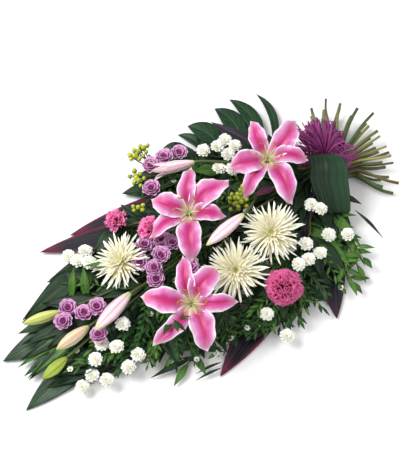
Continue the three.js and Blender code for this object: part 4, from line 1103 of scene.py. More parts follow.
def open_tips(skin, bloom, radius, length):
    """The petal tips of a bud that has begun to open, thick enough to need no shell"""
    for k in range(6):
        turn = 60 * k
        wide, high = (1.2, 0.93) if k % 2 else (1.9, 1)
        line = bloom.curve(
            14,
            (turn, 0.8 * radius, 0.45 * length),
            (turn, 0.95 * radius, 0.66 * length),
            (turn, 0.95 * radius, 0.82 * length),
            (turn, wide * radius, high * length),
        )
        across = np.cross(bloom.axis, bloom.outward(turn))
        t = even_shares(line)
        half = radius * 0.62 * np.maximum(1 - t**1.8, 0.004) ** 0.8
        rows = blade(line, half, lambda _: across, 9, lambda v, s: 0.34 * radius * s * s * (1 - v))
        under = rows - bloom.outward(turn) * 0.8
        skin.grid(np.concatenate([rows, under[:, ::-1]], axis=1), 0.6, 0, closed=True, capped=True)


# Spider chrysanthemums: slim pointed petals, tier above tier round a green heart. A tier is
# told by how many petals it has, their lift, length, distance out, height and droop
MUM_TIERS = [
    (28, -2, 1.0, 8, -1, 6),
    (28, 8, 0.94, 8, 1, 5),
    (26, 18, 0.82, 7, 3, 4),
    (24, 30, 0.66, 5, 4, 2),
    (20, 42, 0.5, 4, 5, 0),
    (16, 56, 0.36, 3, 6, -4),
]
HEART_FLORETS = 46
QUILL_PROFILE = ([0, 0.25, 0.55, 0.85, 1], [1.2, 1.8, 1.9, 1.2, 0.15])


def quill_roll(along, aside):
    """The rolled-up sides of a slim petal"""
    return 1.5 * aside**2 * (1 - 0.7 * along)


def mum_petal(skin, bloom, turn, radius, tier, draw):
    lift, length, reach, height, droop = tier
    slope = math.radians(lift + draw(-6, 8))
    size = radius * length * draw(0.76, 1.07)
    curl = draw(2, 12) - droop
    side = draw(-5, 5)
    out, rise = size * 0.55 * math.cos(slope), size * 0.55 * math.sin(slope)
    far = size * math.cos(slope) * 0.99
    high = height + size * math.sin(slope) * 0.9 + curl * 0.5
    spots = [(turn, reach, height), (turn, reach + out, height + rise), (turn + side, far, high)]
    line = spline([bloom.point(*spot) for spot in spots], 4)
    half = np.interp(even_shares(line), *QUILL_PROFILE) * draw(0.85, 1.15)
    across = turned(np.cross(bloom.axis, bloom.outward(turn)), bloom.outward(turn), draw(-25, 25))
    rows = blade(line, half, lambda _: across, 5, quill_roll)
    skin.grid(rows, draw())


def mum_heart(skin, bloom, draw):
    """A green dome, set with small florets in a spiral"""
    core = np.radians(np.linspace(0, 90, 6))[:, None]
    angles = np.arange(0, 360, 30)
    dome = bloom.point(angles, 8.5 * np.cos(core) + 0.2, 7 * np.sin(core))
    foot = bloom.point(angles, 3.4, -MUM_DEPTH)[None]
    skin.grid(np.concatenate([foot, dome]), 0.5, 1, True, True)
    for k in range(HEART_FLORETS):
        share = math.sqrt((k + 0.5) / HEART_FLORETS)
        turn = GOLDEN_TURN * k
        start = bloom.point(turn, 7 * share, 6 * math.sqrt(1 - share * share) - 1)
        end = bloom.point(turn, 8 * share + 0.5, 11 + 2 * draw() - 3 * share)
        skin.tube(np.array([start, (start + end) / 2, end]), [1.2, 1.0, 0.4], 5, draw(), 1)


def mum(index, name):
    entry = MUMS[name]
    bloom = Bloom(place(entry["at"]), facing(entry["face"]))
    draw = seeded(251 + index)
    skin = Skin()
    for count, *tier in MUM_TIERS:
        for k in range(count):
            turn = 360 * (k + draw(-0.35, 0.35)) / count
            mum_petal(skin, bloom, turn, entry["radius"], tier, draw)
    mum_heart(skin, bloom, draw)
    skin.settle(name, [MUM_QUILL, MUM_HEART], "chrysanthemum", 0.4, name)


# Carnations: a ball of small fans that stand outward every way, each with a ruffled rim. They
# are told by how many fans there are, how wide these spread, and how short some may be
LARGE_CARNATION = 30
LARGE_FANS = (78, 0.36, 0.92)
SMALL_FANS = (28, 0.64, 0.76)
FAN_COLUMNS = 19


def fan(skin, at, out, across, size, spread, draw):
    """A fan that grows wider outward, ruffled and toothed at its rim"""
    share = np.linspace(0, 1, 7)[:, None]
    aside = np.linspace(-1, 1, FAN_COLUMNS)[None, :]
    phase, waves = draw(0, math.tau), draw(5, 8)
    ruffle = 0.2 * spread * share**1.6 * np.sin(waves * aside + phase)
    teeth = 0.05 * size * share**5 * np.where(np.arange(FAN_COLUMNS) % 2, 1, -1)[None, :]
    length = size * share * (1 - 0.16 * aside**2) + teeth
    wide = spread * share**0.7 * aside
    normal = np.cross(out, across)
    offsets = [part[..., None] * way for part, way in ((length, out), (wide, across), (ruffle, normal))]
    skin.grid(at + sum(offsets), draw())


def carnation(index, name):
    entry = CARNATIONS[name]
    bloom = Bloom(place(entry["at"]), facing(entry["face"]))
    draw = seeded(371 + index)
    radius = entry["radius"]
    middle = bloom.on_axis(0.1 * radius)
    large = radius > LARGE_CARNATION
    fans, spread, loose = LARGE_FANS if large else SMALL_FANS
    skin = Skin()
    for k in range(fans):
        share = (k + 0.5) / fans
        lean = math.acos(1 - 0.98 * share)
        side = bloom.outward(GOLDEN_TURN * k)
        out = unit(side * math.sin(lean) + bloom.axis * math.cos(lean) * 0.86)
        across = turned(unit(np.cross(bloom.axis, side)), out, draw(-90, 90))
        size = radius * lerp(0.78, 0.98, share) * draw(loose, 1.06)
        fan(skin, middle, out, across, size, spread * radius, draw)
    heights = (-CARNATION_DEPTH, -0.5 * CARNATION_DEPTH, 0.25 * radius)
    foot = [bloom.on_axis(height) for height in heights]
    skin.tube(foot, [2.5, 0.26 * radius, 0.34 * radius], 14, look=1)
    look = DEEP_CARNATION if large else LIGHT_CARNATION
    skin.settle(name, [look, TWIG], "carnation", 0.5, name)


# Small double flowers and berries, each on its own twig off the spray's stem. A flower's rings,
# the outermost first, are told by how many petals they have, their length, half-width, lift,
# height and curl, and for some by their look and how far out they start
WHITE_RINGS = [
    (11, 13.6, 4.9, 8, 0.6, 1.4),
    (10, 11.8, 4.4, 24, 1.4, 1.2),
    (9, 9.2, 3.7, 42, 2.0, 0.4),
    (7, 6.4, 3.0, 58, 2.4, -0.4),
]
MAUVE_RINGS = [
    (9, 18.0, 8.0, 20, 0.4, 3.0),
    (8, 16.2, 7.6, 38, 1.0, 2.0),
    (7, 13.4, 6.2, 56, 1.6, 0.0),
    (9, 9.0, 3.2, 60, 2.4, -2.0, 1, 2.6),
]
TINY_RINGS = [(6, 4.6, 2.2, 20, 0, 0.6, 2), (4, 3.0, 1.6, 55, 0.4, 0, 2)]
BUTTON_FLORETS = 14


def petal_ring(skin, bloom, draw, count, length, width, lift, height, curl, look=0, start=1.2):
    """Rounded petals in one ring"""
    share = np.linspace(0, 1, 6)[:, None]
    aside = np.linspace(-1, 1, 5)[None, :]
    offset = draw(0, 360)
    for k in range(count):
        turn = offset + 360 * (k + draw(-0.15, 0.15)) / count
        slope = math.radians(lift + draw(-6, 6))
        size = length * draw(0.9, 1.05)
        half = width * np.sin(np.pi * (share * 0.8 + 0.1)) ** 0.5
        cup = 0.16 * length * aside**2 * share
        out = start + size * share * (1 - 0.14 * aside**2) * math.cos(slope)
        rise = height + size * share * math.sin(slope) + cup + curl * share**2
        side = np.degrees(np.arctan2(aside * half, out))
        skin.grid(bloom.point(turn + side, np.hypot(out, aside * half), rise), draw(), look)


def button_heart(skin, bloom, radius, height, look, draw):
    """A low dome of small florets in a spiral"""
    angles = np.arange(0, 360, 45)
    rings = [(1.0, 0.0), (0.85, 0.45), (0.45, 0.8), (0.1, 0.9)]
    dome = [bloom.point(angles, radius * wide, height + radius * high) for wide, high in rings]
    skin.grid(np.array(dome), draw(), look, closed=True, capped=True)
    for k in range(BUTTON_FLORETS):
        turn = GOLDEN_TURN * k
        spread = radius * math.sqrt((k + 0.5) / BUTTON_FLORETS)
        top = height + radius * (1.25 - 0.5 * spread / radius)
        florets = [bloom.point(turn, spread, height + 0.5), bloom.point(turn, spread * 1.05, top)]
        skin.tube(np.array(florets), [0.7, 0.4], 4, draw(), look)


def white_flower(skin, bloom, draw):
    for ring in WHITE_RINGS:
        petal_ring(skin, bloom, draw, *ring)
    button_heart(skin, bloom, 2.0, 3.0, 1, draw)


def mauve_flower(skin, bloom, draw):
    for ring in MAUVE_RINGS:
        petal_ring(skin, bloom, draw, *ring)
    button_heart(skin, bloom, 6.2, 3.0, 1, draw)


BERRIES_BESIDE = 4


def one_berry(skin, bloom, radius, draw):
    """A berry with its dried tip, in the little leaves it grew out of"""
    angles = np.arange(0, 360, 36)
    turn = np.radians([-62, -40, -15, 10, 35, 60, 78])
    wide = radius * np.cos(turn)
    high = radius * np.sin(turn) * np.where(turn > 0, 1.2, 1.0)
    skin.grid(bloom.point(angles, wide[:, None], high[:, None]), draw(), 0, True, True)
    tip = [bloom.on_axis(radius * h) for h in (1.1, 1.35)]
    skin.tube(np.array(tip), [0.7, 0.25], 5, 0.1)
    sepal = ((0.24, -0.96), (0.92, -0.88), (1.3, -0.44))
    for k in range(5):
        leaf = [bloom.point(72 * k, radius * out, radius * high) for out, high in sepal]
        skin.tube(spline(leaf, 3), [0.9, 1.1, 1.2, 1.2, 1.0, 0.7, 0.3], 5, 0.4, 1)


def berry_fruit(skin, bloom, draw):
    one_berry(skin, bloom, BERRY_RADIUS, draw)
    fork = bloom.on_axis(-BERRY_RADIUS - 6)
    for k in range(BERRIES_BESIDE):
        turn = 360 / BERRIES_BESIDE * (k + draw(-0.2, 0.2))
        out = unit(bloom.axis + draw(0.5, 0.9) * bloom.outward(turn))
        beside = Bloom(bloom.point(turn, draw(9, 11.5), draw(-7, 3)), out)
        radius = BERRY_RADIUS * draw(0.8, 1.0)
        one_berry(skin, beside, radius, draw)
        foot = beside.on_axis(-radius)
        skin.tube(bezier(fork, fork + 3 * bloom.axis, foot - 3 * out, foot, 5), 0.7, 5, draw(), 1)


HUB_BACK = 34
HUB_DROP = 14
HUB_FLOOR = 24
FIRST_TWIG = 0.04
TWIG_SPREAD = 0.5
TWIG_APPROACH = 5
TWIG_LEAD = 16
SPRAY_END = 1.9
SPRAY_BACK = 60


def hub_of(places):
    """Where a spray's stem ends: nearer the tie and lower than its flowers"""
    angle, reach, height = np.array(places, float).T
    return [angle.mean(), reach.min() - HUB_BACK, max(height.min() - HUB_DROP, HUB_FLOOR)]


def twig_line(root, lead, foot, axis):
    """A twig that comes up to its flower from below, along the flower's axis"""
    middle = (root + 3 * lead + 3 * (foot - TWIG_LEAD * axis) + foot) / 8
    drop = min(np.dot(foot - middle, axis) - TWIG_APPROACH, 0) / 0.75
    return bezier(root, lead + drop * axis, foot + (drop - TWIG_LEAD) * axis, foot, 10)


def spray(name, slot, places, flower, depth, apex, looks, slot_name, thickness):
    """A spray's stem and twigs, and its flowers where the frame has them

    A flower that the solids have no room for is set at its own spot.
    """
    hub = place(hub_of(places))
    arrival = unit(unit(hub * LEVEL) + 0.3 * UP)
    corners = Corners(name)

    def line_of(bend):
        return stem_line(slot, hub, arrival, bend, back=SPRAY_BACK)

    bend = corners.bend(line_of, SPRAY_END)
    route = Route(line_of(bend)[-2:])
    stems, blooms = Skin(), Skin()
    fine = fine_stem(stems, slot, hub, arrival, SPRAY_END, bend=bend, back=SPRAY_BACK)
    for i, spot in enumerate(places):
        draw = seeded(7 * i + slot[0] * 13 + slot[1])
        axis = facing([draw(0, 24), draw(0, 360)])
        share = 1 - FIRST_TWIG - TWIG_SPREAD * i / len(places)
        top = place(spot) + axis * apex
        found = corners.first(alternating(5, 9), lambda lift: top + lift * UP)
        at = place(spot) + (found or 0) * UP
        root = fine.nearest(route.point(share))
        bloom = Bloom(at, axis, np.cross(at - root, axis))
        HEADS.append(at + 4 * axis)
        foot = bloom.on_axis(-depth)
        line = twig_line(root, root + 14 * arrival + 6 * UP, foot, axis)
        stems.tube(line, np.linspace(1.4, 1.1, len(line)), 6, draw(), CARRIED)
        stems.tube([foot, bloom.on_axis(0.4)], [1.2, 0.36 * depth], 8, draw(), CARRIED)
        flower(blooms, bloom, draw)
    blooms.settle(f"{name}_flowers", looks, slot_name, thickness, name)
    stems.settle(f"{name}_twigs", [STEM, CUT_END, TWIG], "stem")
    return fine


# Leaves
def leaf_rows(line, half, columns, rib, rise, ripple, seed, across=level_across):
    """A broad leaf: a sunk midrib, edges that rise a little and ripple"""
    draw = seeded(seed)
    phase = 6 * draw()

    def dish(along, aside):
        edge = np.abs(aside)
        wave = ripple * np.sin(11 * along + phase + 1.5 * aside) * edge
        fine = 0.3 * ripple * np.sin(34 * along + 2 * phase) * edge**2
        return -rib * np.exp(-((aside / 0.16) ** 2)) + rise * edge**1.4 + wave + fine

    return blade(line, half, across, columns, dish)


def broad_leaf(skin, root, tip, half, edge, sag, peak, seed, look):
    """A large leaf from its root to its tip, as the frame has it but finer"""
    run = tip - root
    bow = sag * UP
    line = bezier(root, root + 0.33 * run + bow, root + 0.7 * run + bow, tip, 40)

    def across(direction):
        return turned(level_across(direction), direction, edge)

    t = even_shares(line)
    wide = np.maximum(half * lance(t, peak), np.where(t < 0.1, 2.4, 0.3))
    rows = leaf_rows(line, wide, 13, 1.0, 0.05 * half, 0.9, seed, across)
    skin.grid(rows, seeded(seed + 60)(), look)


STALK_BACK = 40
LOWEST_TIP = 1.5
CORDYLINE_END = 1.6
TIP_LEAF_END = 2.2
TIP_LEAF_BACK = 60
CUT_LEAF_END = 2.4
LOBE_LEAD = 0.36
LOBE_STEPS = 26
MIDRIB_STEPS = 12


def cordyline(name, seed):
    entry = CORDYLINES[name]
    root, tip = place(entry["root"]), place(entry["tip"])

    def ends(bend):
        start = raised(root, bend[0], 3.4)
        arrival = unit(tip - start)
        return start, start + 10 * arrival, arrival

    def line_of(bend):
        _, end, arrival = ends(bend)
        return stem_line(entry["slot"], end, arrival, bend, back=STALK_BACK)

    bend = Corners(name).bend(line_of, CORDYLINE_END)
    start, end, arrival = ends(bend)
    skin = Skin()
    sag = max(0.4 * bend[0], 0)
    broad_leaf(skin, start, tip, 1.1 * entry["half"], entry.get("edge", 0), sag, 0.42, seed, CARRIED)
    fine_stem(skin, entry["slot"], end, arrival, CORDYLINE_END, bend=bend, back=STALK_BACK)
    look = DARK_CORDYLINE if name in DARK_CORDYLINES else CORDYLINE
    skin.settle(name, [STEM, CUT_END, look], "cordyline", 0.7, name)


def tip_leaves(name):
    slot, hub, blades = TIP_LEAVES[name]
    end = place(hub)
    outward = unit(end * LEVEL)

    def foot_of(bend):
        return raised(end, bend[0], 4)

    def line_of(bend):
        return stem_line(slot, foot_of(bend), outward, bend, back=TIP_LEAF_BACK)

    bend = Corners(name).bend(line_of, TIP_LEAF_END)
    foot = foot_of(bend)
    skin = Skin()
    for i, (tip, half) in enumerate(blades):
        to = raised(place(tip), 0.5 * bend[0], LOWEST_TIP)
        start = foot - outward * (6 + 24 * i) + 0.6 * i * UP
        broad_leaf(skin, start, to, half, 0, 3 + 4 * i, 0.5, 3 + i, CARRIED)
    fine_stem(skin, slot, foot, outward, TIP_LEAF_END, bend=bend, back=TIP_LEAF_BACK)
    skin.settle(name, [STEM, CUT_END, LEAF], "leaf", 0.7, name)


def lobe_line(foot, point, arrival, hook):
    """A lobe's middle line, which leaves the midrib steeply and hooks toward the leaf's end"""
    run = point - foot
    turn = hook * np.sign(run[0] * arrival[1] - run[1] * arrival[0])
    lead = foot + LOBE_LEAD * turned(run, UP, -turn)
    swing = point - LOBE_LEAD * turned(run, UP, turn)
    lead[2] = swing[2] = foot[2] + 3
    return bezier(foot, lead, swing, point, LOBE_STEPS)


def cut_leaf():
    entry = CUT_LEAF

    def ends(lift):
        start = place([*entry["root"], entry["height"] + lift])
        to = place([*entry["end"], entry["height"] - 5 + lift])
        return start, to, unit(to - start)

    def corners_of(lift):
        start, _, arrival = ends(lift)
        return stem_corners(stem_line(entry["slot"], start, arrival, back=STALK_BACK), CUT_LEAF_END)

    start, to, arrival = ends(Corners("cut_leaf").best(alternating(1.5, 13), corners_of))
    skin = Skin()
    fine_stem(skin, entry["slot"], start, arrival, CUT_LEAF_END, back=STALK_BACK)
    midrib = lerp(start - 8 * arrival, to, np.linspace(0, 1, MIDRIB_STEPS)[:, None])
    skin.tube(midrib, np.linspace(entry["midrib"], 1, MIDRIB_STEPS), 8, 0.6, 3)
    for number, (share, tip, half) in enumerate(entry["lobes"]):
        foot = lerp(start, to, share)
        point = place([*tip, max(entry["height"] - 8, 2)])
        line = lobe_line(foot, point, arrival, entry["hook"])
        t = even_shares(line)
        wide = np.maximum(1.12 * half * lance(t, 0.56), 0.4)
        rows = leaf_rows(line, wide, 9, 1.2, 0.8, 0.7, 15 + number)
        skin.grid(rows, seeded(number)(), CARRIED)
    skin.settle("cut_leaf", [STEM, CUT_END, CUT_LEAF_LOOK, TWIG], "leaf", 0.8, "cut_leaf")


LOOP_ACROSS = np.array([0.81, -0.58, 0])


def loop_leaf():
    entry = LOOP_LEAF
    points = np.array(entry["line"], float)
    line = spline(points, 8)
    level = unit(LOOP_ACROSS)
    t = even_shares(line)
    half = entry["half"] * lance(lerp(0.1, 0.94, t), 0.5)
    half = np.maximum(np.where(t < 0.02, 3, half), 3)
    skin = Skin()
    rows = leaf_rows(line, half, 21, 1.2, 0.0, 0.5, 9, lambda _: level)
    skin.grid(rows, 0.5, CARRIED)
    arrival = headings(points)[0]
    fine_stem(skin, entry["slot"], lerp(points[0], points[1], 0.1), arrival, 2, back=20)
    skin.settle("loop_leaf", [STEM, CUT_END, LOOP], "leaf", 0.8, "loop_leaf")


def leaflet(skin, foot, to, half, shade, look, droop=5.0, steps=12, columns=7):
    middle = lerp(foot, to, 0.5) + droop * UP
    line = bezier(foot, middle, middle, to, steps)
    t = even_shares(line)
    wide = np.maximum(half * lance(t, 0.45), 0.3)
    trough = 0.11 * half

    def dish(along, aside):
        return -trough * np.exp(-((aside / 0.3) ** 2)) + 0.4 * trough * np.abs(aside)

    skin.grid(blade(line, wide, level_across, columns, dish), shade, look)


def leaflets_on(skin, corners, route, fine, leaves, seed):
    """The leaves of a stem, each found by its tip in the frame"""
    draw = seeded(seed)
    bare, reach, count, length, width = leaves
    for k in range(count):
        share = min(lerp(bare, reach, k / (count - 1)), 0.995)
        foot = route.point(share)
        is_last = k == count - 1 and reach == 1
        turn = 0 if is_last else (1 if k % 2 else -1) * draw(34, 62)
        out = turned(unit(route.heading(share) * LEVEL), UP, turn)
        size = length * draw(0.75, 1.05)
        rise = draw(0, 16)

        def tip_of(lift):
            to = foot + size * out
            to[2] = max(foot[2] + rise + lift - 6, LOWEST_TIP)
            return to

        found = corners.first(alternating(4, 11), tip_of)
        if found is not None:
            shade = (0.37 * k) % 1
            leaflet(skin, fine.nearest(foot), tip_of(found), 0.8 * width, shade, CARRIED)


LEAFY_BACK = 70
LEAFY_END = 1.3


def leafy_spray(name, seed):
    slot, end, leaves = LEAFY_SPRAYS[name]
    tip = place(end)
    arrival = unit(unit(tip * LEVEL) - 0.1 * UP)
    corners = Corners(name)

    def line_of(bend):
        return stem_line(slot, tip, arrival, bend, back=LEAFY_BACK, steps=5)

    bend = corners.bend(line_of, LEAFY_END)
    skin = Skin()
    fine = fine_stem(skin, slot, tip, arrival, LEAFY_END, bend=bend, back=LEAFY_BACK)
    leaflets_on(skin, corners, Route(line_of(bend)[FRAME_TAIL_STEPS + 1 :]), fine, leaves, seed)
    skin.settle(name, [STEM, CUT_END, LEAFLET], "leaflet", 0.6, name)


# Stems of the large blooms. A calyx is told by how far its rings stand back, and their radius
LILY_END = 2.6
MUM_END = 2.4
CARNATION_END = 1.8
CALYX = [(22, 1.8), (17, 3.6), (12, 5.0), (6, 5.2), (0, 5.6)]


def pedicel(skin, route, fine, share, entry):
    base = place(entry["base"])
    axis = unit(place(entry["tip"]) - base)
    foot = base - GAP * axis
    start = route.point(share)
    heading = route.heading(share)
    line = bezier(start, start + 25 * heading, foot - 30 * axis, foot, 16)
    line[0] = fine.nearest(start)
    skin.tube(line, np.linspace(2, 2.6, len(line)), 8, 0.6, ending=axis)


def bloom_stem(name, slot, end, axis, end_radius, side_buds=(), head=(), **way):
    corners = Corners(name)

    def line_of(bend):
        return stem_line(slot, end, axis, bend, **way)

    bend = corners.bend(line_of, end_radius, axis)
    route = Route(line_of(bend)[FRAME_TAIL_STEPS + 1 :])
    skin = Skin()
    fine = fine_stem(skin, slot, end, axis, end_radius, head, bend=bend, **way)
    for share, entry in side_buds:
        pedicel(skin, route, fine, share, entry)
    if name in STEM_LEAVES:
        seed = 121 + list(STEM_LEAVES).index(name)
        leaflets_on(skin, corners, route, fine, STEM_LEAVES[name], seed)
    skin.settle(name, [STEM, CUT_END, LEAF], "stem", 0.5, name)
    return fine


def bloom_stems():
    side_buds = {
        "lily_stem_1": [(0.35, BUDS["bud_open"])],
        "lily_stem_2": [(0.4, BUDS["bud_blush"])],
        "lily_stem_3": [],
    }
    for entry, (name, buds) in zip(LILIES.values(), side_buds.items()):
        axis = facing(entry["face"])
        end = place(entry["at"]) - axis * (LILY_THROAT + LILY_PLUG + GAP)
        yield bloom_stem(name, BLOOM_SLOTS[name], end, axis, LILY_END, buds, back=46)
    base, tip = [place(BUDS["bud_pink"][end]) for end in ("base", "tip")]
    axis = unit(tip - base)
    others = [(0.74, BUDS["bud_cream"]), (0.66, BUDS["bud_lime"]), (0.7, BUDS["bud_green"])]
    slot = BLOOM_SLOTS["lily_stem_tip"]
    yield bloom_stem("lily_stem_tip", slot, base - GAP * axis, axis, LILY_END, others, back=60, sag=44)
    for blooms, depth, radius, head in (
        (MUMS, MUM_DEPTH, MUM_END, ()),
        (CARNATIONS, CARNATION_DEPTH, CARNATION_END, CALYX),
    ):
        for name, entry in blooms.items():
            axis = facing(entry["face"])
            end = place(entry["at"]) - axis * (depth + GAP)
            yield bloom_stem(f"{name}_stem", BLOOM_SLOTS[name], end, axis, radius, (), head)


# The tie, and the raffia wrapped over it with its bow
BAND_STRANDS = 23
TIE_STRANDS = 8


def band_loop(margin, floor):
    """The outline of a band round the stems: a rounded oblong, seen along the stems"""
    half = BUNDLE_HALF_WIDTH + margin
    top = BUNDLE_FLOOR + BUNDLE_HEIGHT + margin
    corner = STEM_RADIUS + margin
    points = []
    centres = [(half, floor, -90), (half, top, 0), (-half, top, 90), (-half, floor, 180)]
    for y, z, start in centres:
        middle = np.array([y - math.copysign(corner, y), z + (corner if z == floor else -corner)])
        turn = np.radians(start + np.linspace(0, 90, 6))
        points.extend(middle + corner * np.column_stack([np.cos(turn), np.sin(turn)]))
    return np.array(points)


def closed_band(skin, margin, wall, floor, length):
    inner, outer = band_loop(margin, floor + wall), band_loop(margin + wall, floor)
    loops = [(outer, -0.5), (outer, 0.5), (inner, 0.5), (inner, -0.5), (outer, -0.5)]
    rows = [np.column_stack([np.full(len(loop), x * length), loop]) for loop, x in loops]
    skin.grid(np.array(rows), 0.3, closed=True)


def band_strands(skin, margin, floor, length, count, radius, draw):
    """Strands that run round a band side by side, a little askew"""
    loop = band_loop(margin, floor)
    loop = np.vstack([loop, loop[:1]])
    for k in range(count):
        x = lerp(-0.5, 0.5, (k + 0.5) / count) * length
        slant = np.linspace(-1, 1, len(loop)) * draw(-1.5, 1.5)
        line = np.column_stack([x + slant, loop])
        skin.tube(line, radius, 6, draw(), seed_side=EAST)


def binding_tie():
    skin = Skin()
    floor = RAFFIA_WALL + GAP
    closed_band(skin, TIE_CLEARANCE, 0.6 * TIE_WALL, floor + 0.4, TIE_LENGTH)
    band_strands(skin, TIE_CLEARANCE + 1, floor + 1, TIE_LENGTH - 2, TIE_STRANDS, 1.0, seeded(5))
    skin.settle("binding_tie", [TWINE], "string", 0, "binding_tie")


BOW = {"knot": [6, 14, 45], "loops": 7, "turns": (2, 132), "tails": 3, "seed": 21}
STRANDS_PER_LOOP = 15
STRANDS_PER_TAIL = 9
KNOT_STRANDS = 16
LOOSE_SHREDS = 190


def ribbon(skin, line, width, draw):
    """One flat shred of raffia, twisting as it goes"""
    twist, start = draw(-200, 200), draw(0, 180)
    t = even_shares(line)
    sway = draw(1, 5.5) * np.sin(draw(5, 17) * t + draw(0, 6)) * np.sin(np.pi * t)
    line = line + sway[:, None] * unit(np.array([draw(-1, 1), draw(-1, 1), draw(-1, 1)]))
    directions = headings(line)
    halves = width * (0.6 + 0.4 * np.sin(np.pi * t))
    rows = []
    for point, direction, share, half in zip(line, directions, t, halves):
        side = np.cross(UP, direction)
        side = unit(side if np.linalg.norm(side) > 0.2 else EAST)
        side = turned(side, direction, start * 0.3 + twist * share * 0.4)
        rows.append([point - side * half, point, point + side * half])
    skin.grid(np.array(rows), draw())


def raffia_loop(skin, knot, draw, turn, length, rise, spread):
    out = level_way(turn)
    side = np.array([-out[1], out[0], 0])
    start = knot + 3 * out + 4 * UP
    end = knot + 3 * out + 2 * side - 3 * UP
    far = knot + length * out + rise * UP
    for _ in range(STRANDS_PER_LOOP):
        jitter = np.array([draw(-5, 5), draw(-5, 5), draw(-7, 5)])
        peak = far + jitter + side * draw(-0.9, 0.9) * spread
        lead = start + 0.4 * length * out + (rise + draw(2, 18)) * UP + jitter
        over = peak + spread * side * draw(0.3, 1.1) + 9 * UP
        outbound = bezier(start + 0.4 * jitter, lead, over, peak, 9)
        under = peak - spread * side * draw(0.3, 1.1) - 12 * UP
        inbound = bezier(peak, under, end + 0.4 * length * out + draw(-2, 8) * UP, end, 9)
        ribbon(skin, np.vstack([outbound, inbound[1:]]), draw(0.9, 1.9), draw)


def raffia_knot(skin, knot, fine):
    """The strand that crosses the band, with finer ones all round it"""
    cross = spline([[6, -24, 40], [6, -8, 43], knot, [6, 30, 41]], 6)
    wide = np.interp(even_shares(cross), [0, 1 / 3, 2 / 3, 1], [3.5, 6.5, 8.2, 4])
    skin.tube(cross, wide, 10, 0.2, seed_side=EAST)
    for k in range(KNOT_STRANDS):
        turn = k * math.tau / KNOT_STRANDS
        aside = 0.95 * math.cos(turn), 0.95 * math.sin(turn)
        line = cross + np.column_stack([wide * aside[0], np.zeros(len(cross)), wide * aside[1]])
        skin.tube(line, 0.9, 5, fine(), seed_side=EAST)


def raffia_tail(skin, knot, turn, draw, fine):
    out = level_way(turn)
    length = draw(44, 66)
    end = knot + length * out
    end[2] = draw(42, 56)
    high = knot + 0.5 * length * out
    high[2] = 54
    for _ in range(STRANDS_PER_TAIL):
        jitter = np.array([fine(-5, 5), fine(-5, 5), fine(-4, 2)])
        line = bezier(knot + 3 * out, high + jitter, end + jitter, end + 1.4 * jitter, 10)
        ribbon(skin, line, fine(0.8, 1.6), fine)


def loose_shred(skin, knot, k, fine):
    """A shred that curls away from the knot; every third is a longer one, to either side"""
    turn = 2.4 * k if k % 3 else math.radians(fine(66, 122) if k % 2 else fine(-86, -14))
    out = unit(np.array([math.cos(turn), math.sin(turn), fine(-0.1, 0.8)]))
    aside = unit(np.cross(out, UP))
    side = aside * fine(-26, 26)
    start = knot + 4 * out
    end = knot + (fine(22, 58) if k % 3 else fine(42, 84)) * out
    end[2] = max(end[2], 36)
    lead = start + 0.4 * (end - start) + side + fine(0, 16) * UP
    line = bezier(start, lead, end - 0.6 * side + fine(-6, 10) * UP, end, 12)
    share = even_shares(line)
    curl = fine(2, 9) * share * np.sin(fine(3, 11) * share + fine(0, math.tau))
    sway = fine(2, 7) * share * np.cos(fine(3, 11) * share)
    line += curl[:, None] * aside + sway[:, None] * UP
    ribbon(skin, line, fine(0.7, 1.5), fine)


def raffia_bow():
    skin = Skin()
    margin = TIE_CLEARANCE + TIE_WALL + GAP
    closed_band(skin, margin, 0.5 * RAFFIA_WALL, 0.8, RAFFIA_LENGTH - 1)
    band_strands(skin, margin + 1, 1.0, RAFFIA_LENGTH - 2, BAND_STRANDS, 0.95, seeded(8))
    knot = np.array(BOW["knot"], float)
    draw, fine = seeded(BOW["seed"]), seeded(77)
    raffia_knot(skin, knot, fine)
    for i in range(BOW["loops"]):
        share = i / (BOW["loops"] - 1)
        turn = math.radians(lerp(*BOW["turns"], share))
        length, rise, spread = draw(66, 98) * lerp(0.6, 1, share), draw(10, 44), draw(8, 16)
        raffia_loop(skin, knot, fine, turn, length, rise, spread)
    for i in range(BOW["tails"]):
        turn = math.radians(lerp(-95, 20, i / (BOW["tails"] - 1)))
        raffia_tail(skin, knot, turn, draw, fine)
    for k in range(LOOSE_SHREDS):
        loose_shred(skin, knot, k, fine)
    skin.settle("raffia_bow", [RAFFIA], "raffia", 0.35, "raffia_bow")


# What only the looks have: dark leaves, partly painted shade, and fine sprigs that grow from the stems of
# the bed
BED_OUTLINE = {
    "reach": [100, 200, 280, 340, 400, 460, 520, 570, 630, 720],
    "low": [-80, -70, -54, -44, -31, -24, -18, -12, -8, -4],
    "high": [80, 60, 52, 43, 29, 17, 14, 11, 8, 3],
}
LEAF_SHARES = np.array([0.15, 0.3, 0.45, 0.6, 0.75, 0.9, 1])[:, None]
BED_LEAVES = 330
COLLAR_LEAVES = 46
HEAD_ROOM = 13
LOWER_SPRIGS = 98
OTHER_SPRIGS = 42
